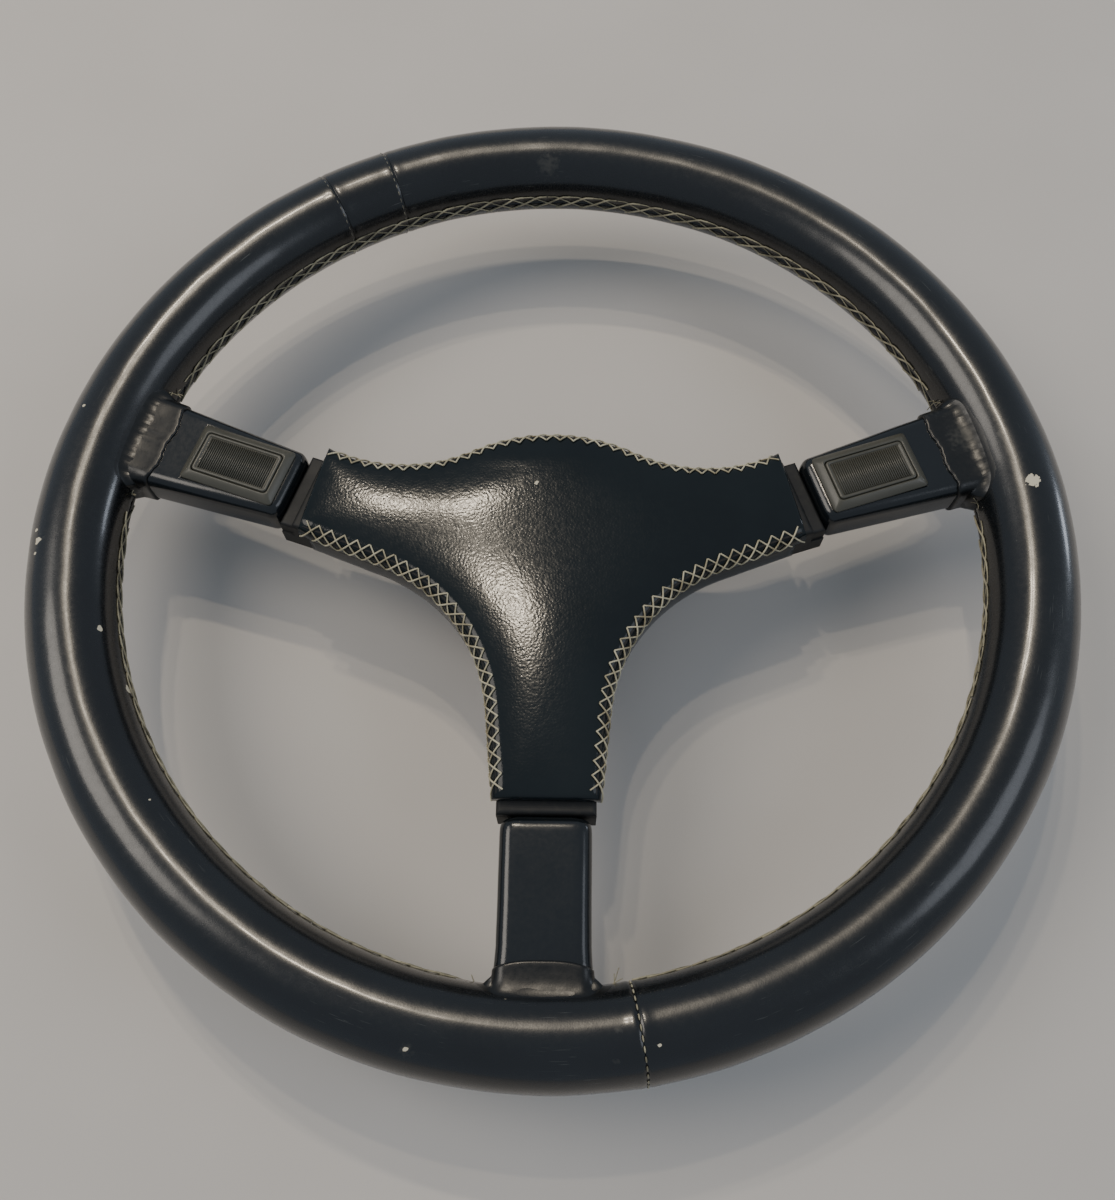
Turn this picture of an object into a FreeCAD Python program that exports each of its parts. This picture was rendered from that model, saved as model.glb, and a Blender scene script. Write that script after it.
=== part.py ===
"""Three-spoke leather steering wheel on a ball-lock quick release hub.

Frame: +Z points at the driver, +Y at twelve o'clock, and the origin is the centre of the quick
release hub's mouth, the lowest face. Millimetres and degrees.
"""
import math
import os

import FreeCAD
import Part
import Sketcher

doc = FreeCAD.newDocument("steering_wheel")

# ---------------------------------------------------------------- driving dimensions
DIMENSIONS = {
    "rim_radius": 174.0,            # wheel centre to the middle of the rim's tube
    "rim_tube": 16.0,               # radius of the finished tube
    "rim_level": 50.0,              # rim's mid-plane above the hub's mouth
    "rim_core": 5.0,                # radius of the steel ring's round bar
    "leather": 1.4,                 # hide thickness
    "glue_gap": 0.1,                # room between glued layers
    "patch_start": 113.0,           # leather patch at eleven o'clock, in degrees from +X
    "patch_end": 121.5,
    "lower_seam": 280.0,            # cross seam at half past five
    "lace_height": 7.0,             # width of the laced strip on the rim's inner side
    "lace_drop": 2.4,               # and how far its middle lies under the rim's mid-plane
    "thread": 0.6,                  # how far lacing stands proud of the leather
    "plate_low": 44.0,
    "plate_thick": 4.0,
    "plate_radius": 35.3,
    "arm_width": 22.0,
    "side_rise": 18.8,              # side spokes climb from the hub to the rim
    "side_drop": 13.8,              # and their centre line passes this far under the hub's centre
    "sleeve_low": 42.0,
    "sleeve_top": 58.0,
    "side_sleeve_start": 96.0,
    "side_sleeve_width": 28.5,
    "side_sleeve_flare": 34.6,
    "low_sleeve_start": 104.0,
    "low_sleeve_width": 29.4,
    "low_sleeve_flare": 31.5,
    "sleeve_end": 152.0,
    "root_flare": 8.0,              # extra width where a sleeve meets the rim
    "pad_low": 44.0,
    "pad_shoulder": 56.0,
    "pad_top": 61.5,
    "board_low": 53.0,
    "tray_low": 41.0,
    "wall": 2.0,
    "side_pad_end": 87.0,
    "low_pad_end": 99.2,
    "crest": 39.3,                  # pad's top edge: a crest arc between two dip arcs
    "crest_arc": 65.0,
    "dip_arc": 58.0,
    "dip_turn": 27.0,
    "pad_corner_x": 83.0,
    "pad_low_corner_x": 91.5,
    "pad_low_corner_y": -1.8,
    "sweep_x": 86.7,                # centre and radius of the sweep from side arm to lower arm
    "sweep_y": -74.7,
    "sweep_arc": 66.0,
    "low_half_width": 18.0,
    "screw_circle": 29.0,          # three M6 screws on a 58 mm circle
    "screw_radius": 3.0,
    "screw_head": 5.5,
    "spigot_radius": 19.9,
    "flange_radius": 34.6,
    "flange_low": 38.0,
    "barrel_radius": 20.0,
    "socket_radius": 15.0,
    "pilot_radius": 15.5,
    "pilot_top": 7.0,
    "spline_root": 13.8,
    "socket_depth": 34.0,
    "spline_low": 17.0,
    "ball_radius": 4.0,
    "ball_level": 12.0,
    "ball_seat": 16.8,              # ball centre to the axis when locked
    "collar_slope": 0.34,           # the collar's cone: radial lift for each mm of pull
    "collar_low": 4.5,
    "collar_top": 24.0,
    "collar_radius": 27.5,
    "grip_radius": 31.0,
    "horn_centre": 118.0,           # along the side spoke
    "bezel_length": 37.0,
    "bezel_width": 23.2,
    "key_length": 30.0,
    "key_width": 16.0,
    "key_top": 60.8,
    "wire": 0.7,                    # radius of the insulated horn wires
}
SIDES = ("left", "right")
BALLS = 6
SCREWS = 3
FIRST_SCREW = 30.0                 # degrees from +X
SPLINES = 24
RIBS = 20

sheet = doc.addObject("Spreadsheet::Sheet", "dim")
for row, (alias, number) in enumerate(DIMENSIONS.items(), start=1):
    sheet.set(f"A{row}", alias)
    sheet.set(f"B{row}", str(number))
    sheet.setAlias(f"B{row}", alias)
doc.recompute()

sub_parts = {}


def size(alias):
    """Value of a driving dimension."""
    return float(sheet.get(alias))


def keep(node, piece):
    """Register a finished sub-part under its node name."""
    piece.Label = node
    sub_parts[node] = piece
    return piece


def bind(piece, **expressions):
    """Bind properties to the sheet; double underscores stand for dots."""
    for name, text in expressions.items():
        piece.setExpression(name.replace("__", "."), str(text))
    return piece


def spoke_placement(piece, spoke):
    """Turn a piece that was drawn along +X onto a spoke; all its heights stay as they are."""
    rise = {"left": "180 - dim.side_rise", "right": "dim.side_rise", "bottom": "-90"}[spoke]
    shift = {"left": "-", "right": "", "bottom": "0 * "}[spoke]
    lower = {"left": "-", "right": "-", "bottom": "0 * "}[spoke]
    bind(piece, Placement__Rotation__Angle=rise)
    return bind(piece,
                Placement__Base__x=f"{shift}dim.side_drop * sin(dim.side_rise)",
                Placement__Base__y=f"{lower}dim.side_drop * cos(dim.side_rise)")


# ---------------------------------------------------------------- primitives and booleans
def cylinder(name, radius, low, height):
    piece = doc.addObject("Part::Cylinder", name)
    return bind(piece, Radius=radius, Height=height, Placement__Base__z=low)


def tube(name, outer, inner, low, height):
    return cut(name, cylinder(name + "_outer", outer, low, height),
               cylinder(name + "_inner", inner, low, height))


def torus(name, minor, start="0", sweep="360"):
    """A stretch of the rim's tube, from a start angle through a sweep angle."""
    piece = doc.addObject("Part::Torus", name)
    bind(piece, Radius1="dim.rim_radius", Radius2=minor, Angle3=sweep)
    return bind(piece, Placement__Base__z="dim.rim_level", Placement__Rotation__Angle=start)


def slab(name, spoke, start, length, width, low, height, across="0", rounding=None):
    """A block along a spoke, centred on the spoke's line or moved across it; its top can be rounded."""
    piece = doc.addObject("Part::Box", name)
    bind(piece, Length=length, Width=width, Height=height)
    bind(piece, Placement__Base__x=start, Placement__Base__z=low,
         Placement__Base__y=f"{across} - ({width}) / 2")
    holder = doc.addObject("Part::Compound", name + "_placed")
    holder.Links = [round_top(piece, rounding) if rounding else piece]
    return spoke_placement(holder, spoke)


def round_top(block, radius):
    """Fillet the four top edges of a block."""
    doc.recompute()
    top = block.Shape.BoundBox.ZMax
    fillet = doc.addObject("Part::Fillet", block.Name + "_round")
    fillet.Base = block
    fillet.Edges = [(number, radius, radius) for number, edge in enumerate(block.Shape.Edges, start=1)
                    if all(abs(corner.Z - top) < 1e-6 for corner in edge.Vertexes)]
    return fillet


def cut(name, base, *tools):
    """Base minus the tools."""
    piece = doc.addObject("Part::Cut", name)
    piece.Base = base
    piece.Tool = tools[0] if len(tools) == 1 else fuse(name + "_tools", *tools)
    return piece


def fuse(name, *shapes):
    piece = doc.addObject("Part::MultiFuse", name)
    piece.Shapes = list(shapes)
    return piece


def common(name, *shapes):
    piece = doc.addObject("Part::MultiCommon", name)
    piece.Shapes = list(shapes)
    return piece


def group(name, shapes):
    """Separate identical solids kept in one sub-part."""
    piece = doc.addObject("Part::Feature", name)
    piece.Shape = Part.makeCompound(shapes)
    return piece


# ---------------------------------------------------------------- sketches and bodies
def new_body(name):
    return doc.addObject("PartDesign::Body", name)


def sketch_on(body, role, name, offset="0"):
    """A sketch on one of the body's own origin planes, lifted off it by an offset."""
    plane = next(item for item in body.Origin.OriginFeatures if item.Role == role)
    sketch = body.newObject("Sketcher::SketchObject", name)
    sketch.AttachmentSupport = [(plane, "")]
    sketch.MapMode = "FlatFace"
    return bind(sketch, AttachmentOffset__Base__z=offset)


def line(x1, y1, x2, y2):
    return Part.LineSegment(FreeCAD.Vector(x1, y1, 0), FreeCAD.Vector(x2, y2, 0))


def arc(x, y, radius, start, end):
    circle = Part.Circle(FreeCAD.Vector(x, y, 0), FreeCAD.Vector(0, 0, 1), radius)
    return Part.ArcOfCircle(circle, math.radians(start), math.radians(end))


def evaluate(text):
    """Value of an expression on the sheet, for a first guess that the binding then holds."""
    probe = sheet.evalExpression(text)
    return float(getattr(probe, "Value", probe))


def turned(name, corners):
    """A body of revolution about Z; corners are (radius, height) expressions, in order."""
    body = new_body(name)
    sketch = sketch_on(body, "XZ_Plane", name + "_section")
    points = [(evaluate(radius), evaluate(height)) for radius, height in corners]
    count = len(points)
    for i, (x, z) in enumerate(points):
        sketch.addGeometry(line(x, z, *points[(i + 1) % count]), False)
    for i in range(count):
        sketch.addConstraint(Sketcher.Constraint("Coincident", i, 2, (i + 1) % count, 1))
    for i, (radius, height) in enumerate(corners):
        for kind, text, guess, axis in (("DistanceX", radius, points[i][0], -2),
                                        ("DistanceY", height, points[i][1], -1)):
            if abs(guess) < 1e-9:
                sketch.addConstraint(Sketcher.Constraint("PointOnObject", i, 1, axis))
                continue
            number = sketch.addConstraint(Sketcher.Constraint(kind, -1, 1, i, 1, guess))
            sketch.setExpression(f"Constraints[{number}]", text)
    revolve = body.newObject("PartDesign::Revolution", name + "_turned")
    revolve.Profile = sketch
    revolve.ReferenceAxis = (sketch, ["V_Axis"])
    revolve.Angle = 360.0
    return body


def rounded_section(sketch, width, low, top, radius):
    """A rectangle with round corners, centred on the sketch's upright axis."""
    half = evaluate(width) / 2
    z0, z1, r = evaluate(low), evaluate(top), evaluate(radius)
    sketch.addGeometry([line(-half + r, z0, half - r, z0), line(half, z0 + r, half, z1 - r),
                        line(half - r, z1, -half + r, z1), line(-half, z1 - r, -half, z0 + r),
                        arc(half - r, z0 + r, r, -90, 0), arc(half - r, z1 - r, r, 0, 90),
                        arc(-half + r, z1 - r, r, 90, 180), arc(-half + r, z0 + r, r, 180, 270)],
                       False)
    rules = [("Vertical", 1), ("Horizontal", 2), ("Vertical", 3)]
    rules += [("Equal", 4 + i, 5 + i) for i in range(3)]
    for i in range(4):
        rules += [("Tangent", i, 2, 4 + i, 1), ("Tangent", 4 + i, 2, (i + 1) % 4, 1)]
    rules.append(("Symmetric", 0, 1, 0, 2, -2))
    for rule in rules:
        sketch.addConstraint(Sketcher.Constraint(*rule))
    for rule, text in ((("Radius", 4, r), radius),
                       (("DistanceX", 3, 1, 1, 1, 2 * half), width),
                       (("DistanceY", -1, 1, 0, 1, z0), low),
                       (("DistanceY", -1, 1, 2, 1, z1), top)):
        number = sketch.addConstraint(Sketcher.Constraint(*rule))
        sketch.setExpression(f"Constraints[{number}]", text)
    return sketch


def polar(body, feature, count):
    """Repeat a feature round the body's Z axis."""
    pattern = body.newObject("PartDesign::PolarPattern", feature.Name + "_pattern")
    pattern.Originals = [feature]
    axis = next(item for item in body.Origin.OriginFeatures if item.Role == "Z_Axis")
    pattern.Axis = (axis, [""])
    pattern.Angle = 360.0
    pattern.Occurrences = count
    body.Tip = pattern
    return pattern


def tangent_point(px, py, x, y, radius, side):
    """Where the line from a point touches a circle, and that place's angle in degrees."""
    reach = math.hypot(px - x, py - y)
    angle = math.atan2(py - y, px - x) + side * math.acos(radius / reach)
    return x + radius * math.cos(angle), y + radius * math.sin(angle), math.degrees(angle)


def pad_outline():
    """The pad's Y-shaped outline as one closed sketch, symmetric about X = 0."""
    sketch = doc.addObject("Sketcher::SketchObject", "pad_outline")
    crest_r, dip_r, turn = size("crest_arc"), size("dip_arc"), size("dip_turn")
    crest_y = size("crest") - crest_r
    dip_x = (crest_r + dip_r) * math.sin(math.radians(turn))
    dip_y = crest_y + (crest_r + dip_r) * math.cos(math.radians(turn))
    corner_x = size("pad_corner_x")
    lean = math.asin((corner_x - dip_x) / dip_r)
    corner_y = dip_y - dip_r * math.cos(lean)
    low_x, low_y = size("pad_low_corner_x"), size("pad_low_corner_y")
    foot_x, foot_y = size("low_half_width"), -size("low_pad_end")
    sweep = (size("sweep_x"), size("sweep_y"), size("sweep_arc"))
    top_x, top_y, top_angle = tangent_point(low_x, low_y, *sweep, 1)
    end_x, end_y, end_angle = tangent_point(foot_x, foot_y, *sweep, -1)
    half = [("arc", dip_x, dip_y, dip_r, 270 - turn, 270 + math.degrees(lean)),
            ("line", corner_x, corner_y, low_x, low_y),
            ("line", low_x, low_y, top_x, top_y),
            ("arc", *sweep, top_angle, end_angle % 360),
            ("line", end_x, end_y, foot_x, foot_y)]
    sketch.addGeometry(arc(0, crest_y, crest_r, 90 - turn, 90 + turn), False)
    for kind, *n in half:
        if kind == "arc":
            sketch.addGeometry(arc(*n), False)
            sketch.addGeometry(arc(-n[0], n[1], n[2], 180 - n[4], 180 - n[3]), False)
        else:
            sketch.addGeometry(line(*n), False)
            sketch.addGeometry(line(-n[0], n[1], -n[2], n[3]), False)
    sketch.addGeometry(line(foot_x, foot_y, -foot_x, foot_y), False)
    return sketch


OUTLINE = pad_outline()


def outlined(name, inset, low, height):
    """The pad's outline, moved inwards by an inset and raised between two heights."""
    base = OUTLINE
    if inset != "0":
        base = doc.addObject("Part::Offset2D", name + "_edge")
        base.Source = OUTLINE
        bind(base, Value=f"-({inset})")
    piece = doc.addObject("Part::Extrusion", name)
    piece.Base = base
    piece.DirMode = "Custom"
    piece.Dir = FreeCAD.Vector(0, 0, 1)
    piece.Solid = True
    return bind(piece, LengthFwd=height, Placement__Base__z=low)


# ---------------------------------------------------------------- rim
def arm_blocks(name, grow="0"):
    """The plate's three arms from the hub's middle to the rim's middle, with room round them."""
    return [slab(f"{name}_{spoke}", spoke, "0", "dim.rim_radius", f"dim.arm_width + 2 * ({grow})",
                 f"dim.plate_low - ({grow})", f"dim.plate_thick + 2 * ({grow})")
            for spoke in ("left", "right", "bottom")]


def make_rim():
    keep("rim_core", torus("core", "dim.rim_core"))
    arms = arm_blocks("foam_slot", "dim.glue_gap")
    keep("rim_foam", cut("foam", torus("foam_blank", "dim.rim_tube - dim.leather - dim.glue_gap"),
                         torus("foam_hole", "dim.rim_core + dim.glue_gap / 2"), *arms))
    seams = {"rim_leather_right": ("dim.lower_seam - 360", "dim.patch_start"),
             "rim_leather_patch": ("dim.patch_start", "dim.patch_end"),
             "rim_leather_left": ("dim.patch_end", "dim.lower_seam")}
    for node, (start, end) in seams.items():
        sweep = f"({end}) - ({start}) - 0.05"
        slots = arm_blocks(node + "_slot", "dim.glue_gap") if node != "rim_leather_patch" else []
        keep(node, cut(node + "_shell", torus(node + "_blank", "dim.rim_tube", start, sweep),
                       torus(node + "_hollow", "dim.rim_tube - dim.leather", start, sweep), *slots))


def make_rim_lacing():
    """Raised strips on the rim's inner side, between the spokes."""
    shell = cut("lace_shell", torus("lace_outer", "dim.rim_tube + dim.thread"),
                torus("lace_inner", "dim.rim_tube + 0.02"))
    inner_side = cylinder("lace_reach", "dim.rim_radius - 8",
                          "dim.rim_level - dim.lace_drop - dim.lace_height / 2", "dim.lace_height")
    gaps = [slab(f"lace_gap_{spoke}", spoke, "100", "dim.rim_radius - 100",
                 "dim.side_sleeve_flare + 2 * dim.root_flare + 4", "dim.rim_level - 10", "20")
            for spoke in ("left", "right", "bottom")]
    keep("rim_lacing", cut("lacing", common("lace_strip", shell, inner_side), *gaps))


def make_seam_threads():
    """A thread round the tube at each cross seam, open where the lacing runs."""
    first, sweep = math.radians(174.5), 332.0
    rings = []
    for alias in ("patch_start", "patch_end", "lower_seam"):
        ring = doc.addObject("Part::Torus", f"seam_ring_{alias}")
        bind(ring, Radius1="dim.rim_tube + dim.thread / 2 + 0.02", Radius2="dim.thread / 2")
        ring.Angle3 = sweep
        angle = math.radians(size(alias))
        outwards = FreeCAD.Vector(math.cos(angle), math.sin(angle), 0)
        along = FreeCAD.Vector(-math.sin(angle), math.cos(angle), 0)
        start = outwards * math.cos(first) + FreeCAD.Vector(0, 0, math.sin(first))
        ring.Placement.Rotation = FreeCAD.Rotation(start, along.cross(start), along, "ZXY")
        bind(ring, Placement__Base__x=f"dim.rim_radius * cos(dim.{alias} * 1 deg)",
             Placement__Base__y=f"dim.rim_radius * sin(dim.{alias} * 1 deg)",
             Placement__Base__z="dim.rim_level")
        rings.append(ring)
    keep("rim_seam_threads", fuse("seam_rings", *rings))


# ---------------------------------------------------------------- spokes
def make_plate():
    disc = fuse("plate_blank", cylinder("plate_disc", "dim.plate_radius", "dim.plate_low", "dim.plate_thick"),
                *arm_blocks("plate_arm"))
    hole = cylinder("plate_hole", "dim.spigot_radius + 0.1", "dim.plate_low",
                    "dim.plate_thick")
    keep("spoke_plate", cut("plate", disc, hole, torus("plate_weld", "dim.rim_core"),
                            screw_holes("plate_screw_holes", "dim.screw_radius + 0.25", "dim.plate_low",
                                        "dim.plate_thick")))


def screw_holes(name, radius, low, height):
    """Cylinders on the screw circle, as one tool."""
    holes = []
    for i in range(SCREWS):
        angle = math.radians(FIRST_SCREW + 360 / SCREWS * i)
        hole = cylinder(f"{name}_{i}", radius, low, height)
        bind(hole, Placement__Base__x=f"dim.screw_circle * {math.cos(angle):.9f}",
             Placement__Base__y=f"dim.screw_circle * {math.sin(angle):.9f}")
        holes.append(hole)
    return fuse(name, *holes)


def sleeve_blank(spoke, start, width, flare):
    """Box section that widens to the rim and flares where it meets it."""
    body = new_body(f"sleeve_{spoke}")
    stations = ((start, width, "0"), ("dim.sleeve_end - 6", flare, "0"),
                ("dim.sleeve_end + 8", f"{flare} + 2 * dim.root_flare", "2"))
    sketches = []
    for i, (along, wide, taller) in enumerate(stations):
        sketch = sketch_on(body, "YZ_Plane", f"sleeve_{spoke}_section_{i}", along)
        sketches.append(rounded_section(sketch, wide, f"dim.sleeve_low - {taller}",
                                        f"dim.sleeve_top + {taller}", "4"))
    loft = body.newObject("PartDesign::AdditiveLoft", f"sleeve_{spoke}_loft")
    loft.Profile = sketches[0]
    loft.Sections = sketches[1:]
    loft.Ruled = True
    return spoke_placement(body, spoke)


def make_sleeves():
    for spoke in ("left", "right", "bottom"):
        side = spoke != "bottom"
        kind = "side" if side else "low"
        start = f"dim.{kind}_sleeve_start"
        blank = sleeve_blank(spoke, start, f"dim.{kind}_sleeve_width", f"dim.{kind}_sleeve_flare")
        slot = slab(f"sleeve_slot_{spoke}", spoke, "90", "80", "dim.arm_width + 0.2",
                    "dim.plate_low - 0.1", "dim.plate_thick + 0.2")
        tools = [slot, torus(f"sleeve_rim_{spoke}", "dim.rim_tube + 0.1")]
        if side:
            tools.append(slab(f"horn_pocket_{spoke}", spoke, "dim.horn_centre - dim.bezel_length / 2 + 1",
                              "dim.bezel_length - 2", "dim.bezel_width - 2",
                              "dim.plate_low + dim.plate_thick", "20"))
            tools.append(slab(f"wire_channel_{spoke}", spoke, "90", "15", "2.4",
                              "dim.plate_low + dim.plate_thick", "2.4"))
        keep(f"spoke_sleeve_{spoke}", cut(f"sleeve_{spoke}_cut", blank, *tools))


# ---------------------------------------------------------------- centre pad and hub tray
def end_blocks(name, low, height, shrink="0",
               ends=("dim.side_sleeve_start - 0.2", "dim.low_sleeve_start - 0.2"), rounding=None):
    """The three moulded arm ends that show between the pad and the sleeves."""
    blocks = []
    for spoke in ("left", "right", "bottom"):
        kind = "low" if spoke == "bottom" else "side"
        width = "dim.low_sleeve_width + 4" if spoke == "bottom" else "dim.side_sleeve_width + 2.5"
        start = f"dim.{kind}_pad_end - 4"
        end = ends[1] if spoke == "bottom" else ends[0]
        blocks.append(slab(f"{name}_{spoke}", spoke, start, f"{end} - ({start})",
                           f"{width} - 2 * ({shrink})", low, height, rounding=rounding))
    return blocks


def make_tray():
    """Open moulded tray under the plate; the arms lie in its three end notches."""
    height = "dim.plate_low + dim.plate_thick - dim.tray_low"
    inset = "dim.leather + 0.3"
    shell = cut("tray_shell", outlined("tray_outer", inset, "dim.tray_low", height),
                outlined("tray_hollow", f"{inset} + dim.wall", "dim.tray_low + dim.wall", height))
    ends = end_blocks("tray_end", "dim.tray_low", height)
    notches = arm_blocks("tray_notch", "0.1")
    room = cylinder("tray_flange_room", "dim.flange_radius + 0.8", "dim.tray_low", "dim.wall")
    keep("hub_tray", cut("tray", fuse("tray_blank", shell, *ends), room, *notches))


def make_pad_frame():
    """Moulded board over the plate, with a skirt and the upper halves of the arm ends."""
    low = "dim.plate_low + dim.plate_thick"
    height = f"dim.board_low + dim.wall - ({low})"
    inset = "dim.leather + 0.1"
    shell = cut("frame_shell", outlined("frame_outer", inset, low, height),
                outlined("frame_hollow", f"{inset} + dim.wall", low, f"dim.board_low - ({low})"))
    ends = end_blocks("frame_ridge", low, f"dim.pad_shoulder - ({low})", rounding=1.6,
                      ends=("dim.side_pad_end + 3.6", "dim.low_sleeve_start - 0.3"))
    ends += end_blocks("frame_step", low, f"dim.pad_shoulder - 2.4 - ({low})", shrink="0.6", rounding=1.2)
    inside = outlined("frame_end_trim", inset, "dim.board_low + dim.wall", "20")
    channels = [slab(f"frame_wire_{side}", side, "70", "30", "2.4", low, "2.4") for side in SIDES]
    keep("pad_frame", cut("frame", fuse("frame_blank", shell, *ends), inside, *channels))


def make_pad():
    """Foam, top leather, side band and lacing of the centre pad."""
    low = "dim.board_low + dim.wall"
    cover = cut("cover_shell",
                outlined("cover_outer", "0", "dim.pad_shoulder", "dim.pad_top - dim.pad_shoulder"),
                outlined("cover_hollow", "dim.leather", "dim.pad_shoulder",
                         "dim.pad_top - dim.leather - dim.pad_shoulder"))
    keep("pad_leather", cover)
    keep("pad_foam", outlined("foam_block", "dim.leather + dim.glue_gap", low,
                              f"dim.pad_top - dim.leather - dim.glue_gap - ({low})"))
    depth = "dim.pad_shoulder - dim.pad_low"
    band = cut("band_shell", outlined("band_outer", "0", "dim.pad_low", depth),
               outlined("band_hollow", "dim.leather", "dim.pad_low", depth))
    keep("pad_side_band", cut("band", band, *end_blocks("band_end", "dim.tray_low", "20", "-3")))
    strip = cut("stitch_shell", outlined("stitch_outer", "-dim.thread", "dim.pad_shoulder - 1", "5"),
                outlined("stitch_hollow", "-0.02", "dim.pad_shoulder - 1", "5"))
    keep("pad_lacing", cut("stitch", strip, *end_blocks("stitch_end", "dim.tray_low", "30", "-5")))


def make_clips():
    """Bent steel clips that hook the pad frame under the plate's arms."""
    depth, reach, leg, along = 8.0, 2.2, 0.8, 60.0
    half_arm = size("arm_width") / 2
    under = size("plate_low") - 0.9
    rise = math.radians(size("side_rise"))
    clips = []
    shift_x, shift_y = size("side_drop") * math.sin(rise), -size("side_drop") * math.cos(rise)
    arms = ((size("side_rise"), FreeCAD.Vector(shift_x, shift_y, 0)),
            (180 - size("side_rise"), FreeCAD.Vector(-shift_x, shift_y, 0)),
            (-90, FreeCAD.Vector()))
    for turn, shift in arms:
        for side in (-1, 1):
            y = side * (half_arm + 0.2 + leg / 2)
            post = Part.makeBox(depth, leg, size("board_low") - under,
                                FreeCAD.Vector(along, y - leg / 2, under))
            inner = side * (half_arm - reach + 0.1)
            hook = Part.makeBox(depth, reach + 0.2, leg,
                                FreeCAD.Vector(along, min(inner, inner + side * (reach + 0.2)), under))
            clip = post.fuse(hook).removeSplitter()
            clip.Placement = FreeCAD.Placement(shift, FreeCAD.Rotation(FreeCAD.Vector(0, 0, 1), turn))
            clips.append(clip)
    keep("pad_clips", group("clips", clips))


# ---------------------------------------------------------------- horn pushes
def make_horn_push(side):
    """Base, contacts, springs, ribbed key and bezel of one horn push."""
    floor = "dim.plate_low + dim.plate_thick + 0.2"
    shelf = "dim.sleeve_top - 6"
    middle = "dim.horn_centre"

    def block(name, length, width, low, height, along="0"):
        return slab(f"{name}_{side}", side, f"{middle} + ({along}) - ({length}) / 2", length, width,
                    low, height)

    base = cut(f"horn_base_cut_{side}",
               block("base_outer", "dim.bezel_length - 2.4", "dim.bezel_width - 2.4", floor,
                     f"{shelf} - ({floor}) - 0.05"),
               block("base_room", "dim.bezel_length - 4.6", "dim.bezel_width - 4.4", f"{floor} + 1.2", "20"),
               block("base_wire_hole", "6", "2.4", floor, "2.6", "-dim.bezel_length / 2 + 1.5"))
    keep(f"horn_base_{side}", base)
    bezel = cut(f"horn_bezel_cut_{side}",
                fuse(f"bezel_blank_{side}",
                     block("bezel_flange", "dim.bezel_length", "dim.bezel_width", "dim.sleeve_top + 0.05", "2.2"),
                     block("bezel_neck", "dim.bezel_length - 2.4", "dim.bezel_width - 2.4", shelf, "7")),
                block("bezel_window", "dim.key_length + 0.6", "dim.key_width + 0.6", shelf, "20"),
                block("bezel_room", "dim.bezel_length - 4.4", "dim.bezel_width - 4.2", shelf, "4.5"))
    keep(f"horn_bezel_{side}", bezel)
    keep(f"horn_key_{side}", horn_key(side))
    contact_top = f"{floor} + 1.2 + 4.1"
    strip = block("contact_strip", "16", "4", f"{floor} + 1.2", "0.6")
    stud = cylinder(f"contact_stud_{side}", "1.8", f"{floor} + 1.2", "4.1")
    bind(stud, Placement__Base__x=middle)
    stud_holder = doc.addObject("Part::Compound", f"contact_stud_placed_{side}")
    stud_holder.Links = [stud]
    keep(f"horn_fixed_contact_{side}", fuse(f"fixed_contact_{side}", strip, spoke_placement(stud_holder, side)))
    keep(f"horn_moving_contact_{side}", block("moving_contact", "8", "5", f"{contact_top} + 1.4", "0.29"))
    springs = []
    for number, along in enumerate(("-11", "11")):
        coil = tube(f"spring_{side}_{number}", "2.4", "1.8", f"{floor} + 1.25", f"{shelf} + 3.2 - ({floor}) - 1.3")
        holder = doc.addObject("Part::Compound", f"spring_placed_{side}_{number}")
        holder.Links = [coil]
        bind(coil, Placement__Base__x=f"{middle} + ({along})")
        springs.append(spoke_placement(holder, side))
    both = doc.addObject("Part::Compound", f"springs_{side}")
    both.Links = springs
    keep(f"horn_springs_{side}", both)


def horn_key(side):
    """Key with a stop flange below and fine ribs across its top."""
    body = new_body(f"key_{side}")
    shelf = "dim.sleeve_top - 6"
    bottom = f"{shelf} + 3.2"
    layers = (("flange", "dim.key_length + 2", "dim.key_width + 2", bottom, "1.2"),
              ("stem", "dim.key_length", "dim.key_width", bottom, f"dim.key_top - 0.5 - ({bottom})"))
    for name, length, width, low, height in layers:
        sketch = sketch_on(body, "XY_Plane", f"key_{side}_{name}_outline", low)
        rounded_section(sketch, length, f"30 - ({width}) / 2", f"30 + ({width}) / 2", "1")
        pad = body.newObject("PartDesign::Pad", f"key_{side}_{name}")
        pad.Profile = sketch
        bind(pad, Length=height)
    rib_sketch = sketch_on(body, "XY_Plane", f"key_{side}_rib_outline", "dim.key_top - 0.7")
    pitch = (size("key_length") - 3.2) / (RIBS - 1)
    first = -pitch * (RIBS - 1) / 2
    reach = size("key_width") / 2 - 1.2
    rib = (line(first - 0.35, 30 - reach, first + 0.35, 30 - reach),
           line(first + 0.35, 30 - reach, first + 0.35, 30 + reach),
           line(first + 0.35, 30 + reach, first - 0.35, 30 + reach),
           line(first - 0.35, 30 + reach, first - 0.35, 30 - reach))
    rib_sketch.addGeometry(list(rib), False)
    for i in range(4):
        rib_sketch.addConstraint(Sketcher.Constraint("Coincident", i, 2, (i + 1) % 4, 1))
    rib_pad = body.newObject("PartDesign::Pad", f"key_{side}_rib")
    rib_pad.Profile = rib_sketch
    rib_pad.Length = 0.7
    pattern = body.newObject("PartDesign::LinearPattern", f"key_{side}_ribs")
    pattern.Originals = [rib_pad]
    axis = next(item for item in body.Origin.OriginFeatures if item.Role == "X_Axis")
    pattern.Direction = (axis, [""])
    pattern.Length = pitch * (RIBS - 1)
    pattern.Occurrences = RIBS
    body.Tip = pattern
    bind(body, Placement__Base__x="dim.horn_centre", Placement__Base__y="-30")
    holder = doc.addObject("Part::Compound", f"key_placed_{side}")
    holder.Links = [body]
    return spoke_placement(holder, side)


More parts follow.
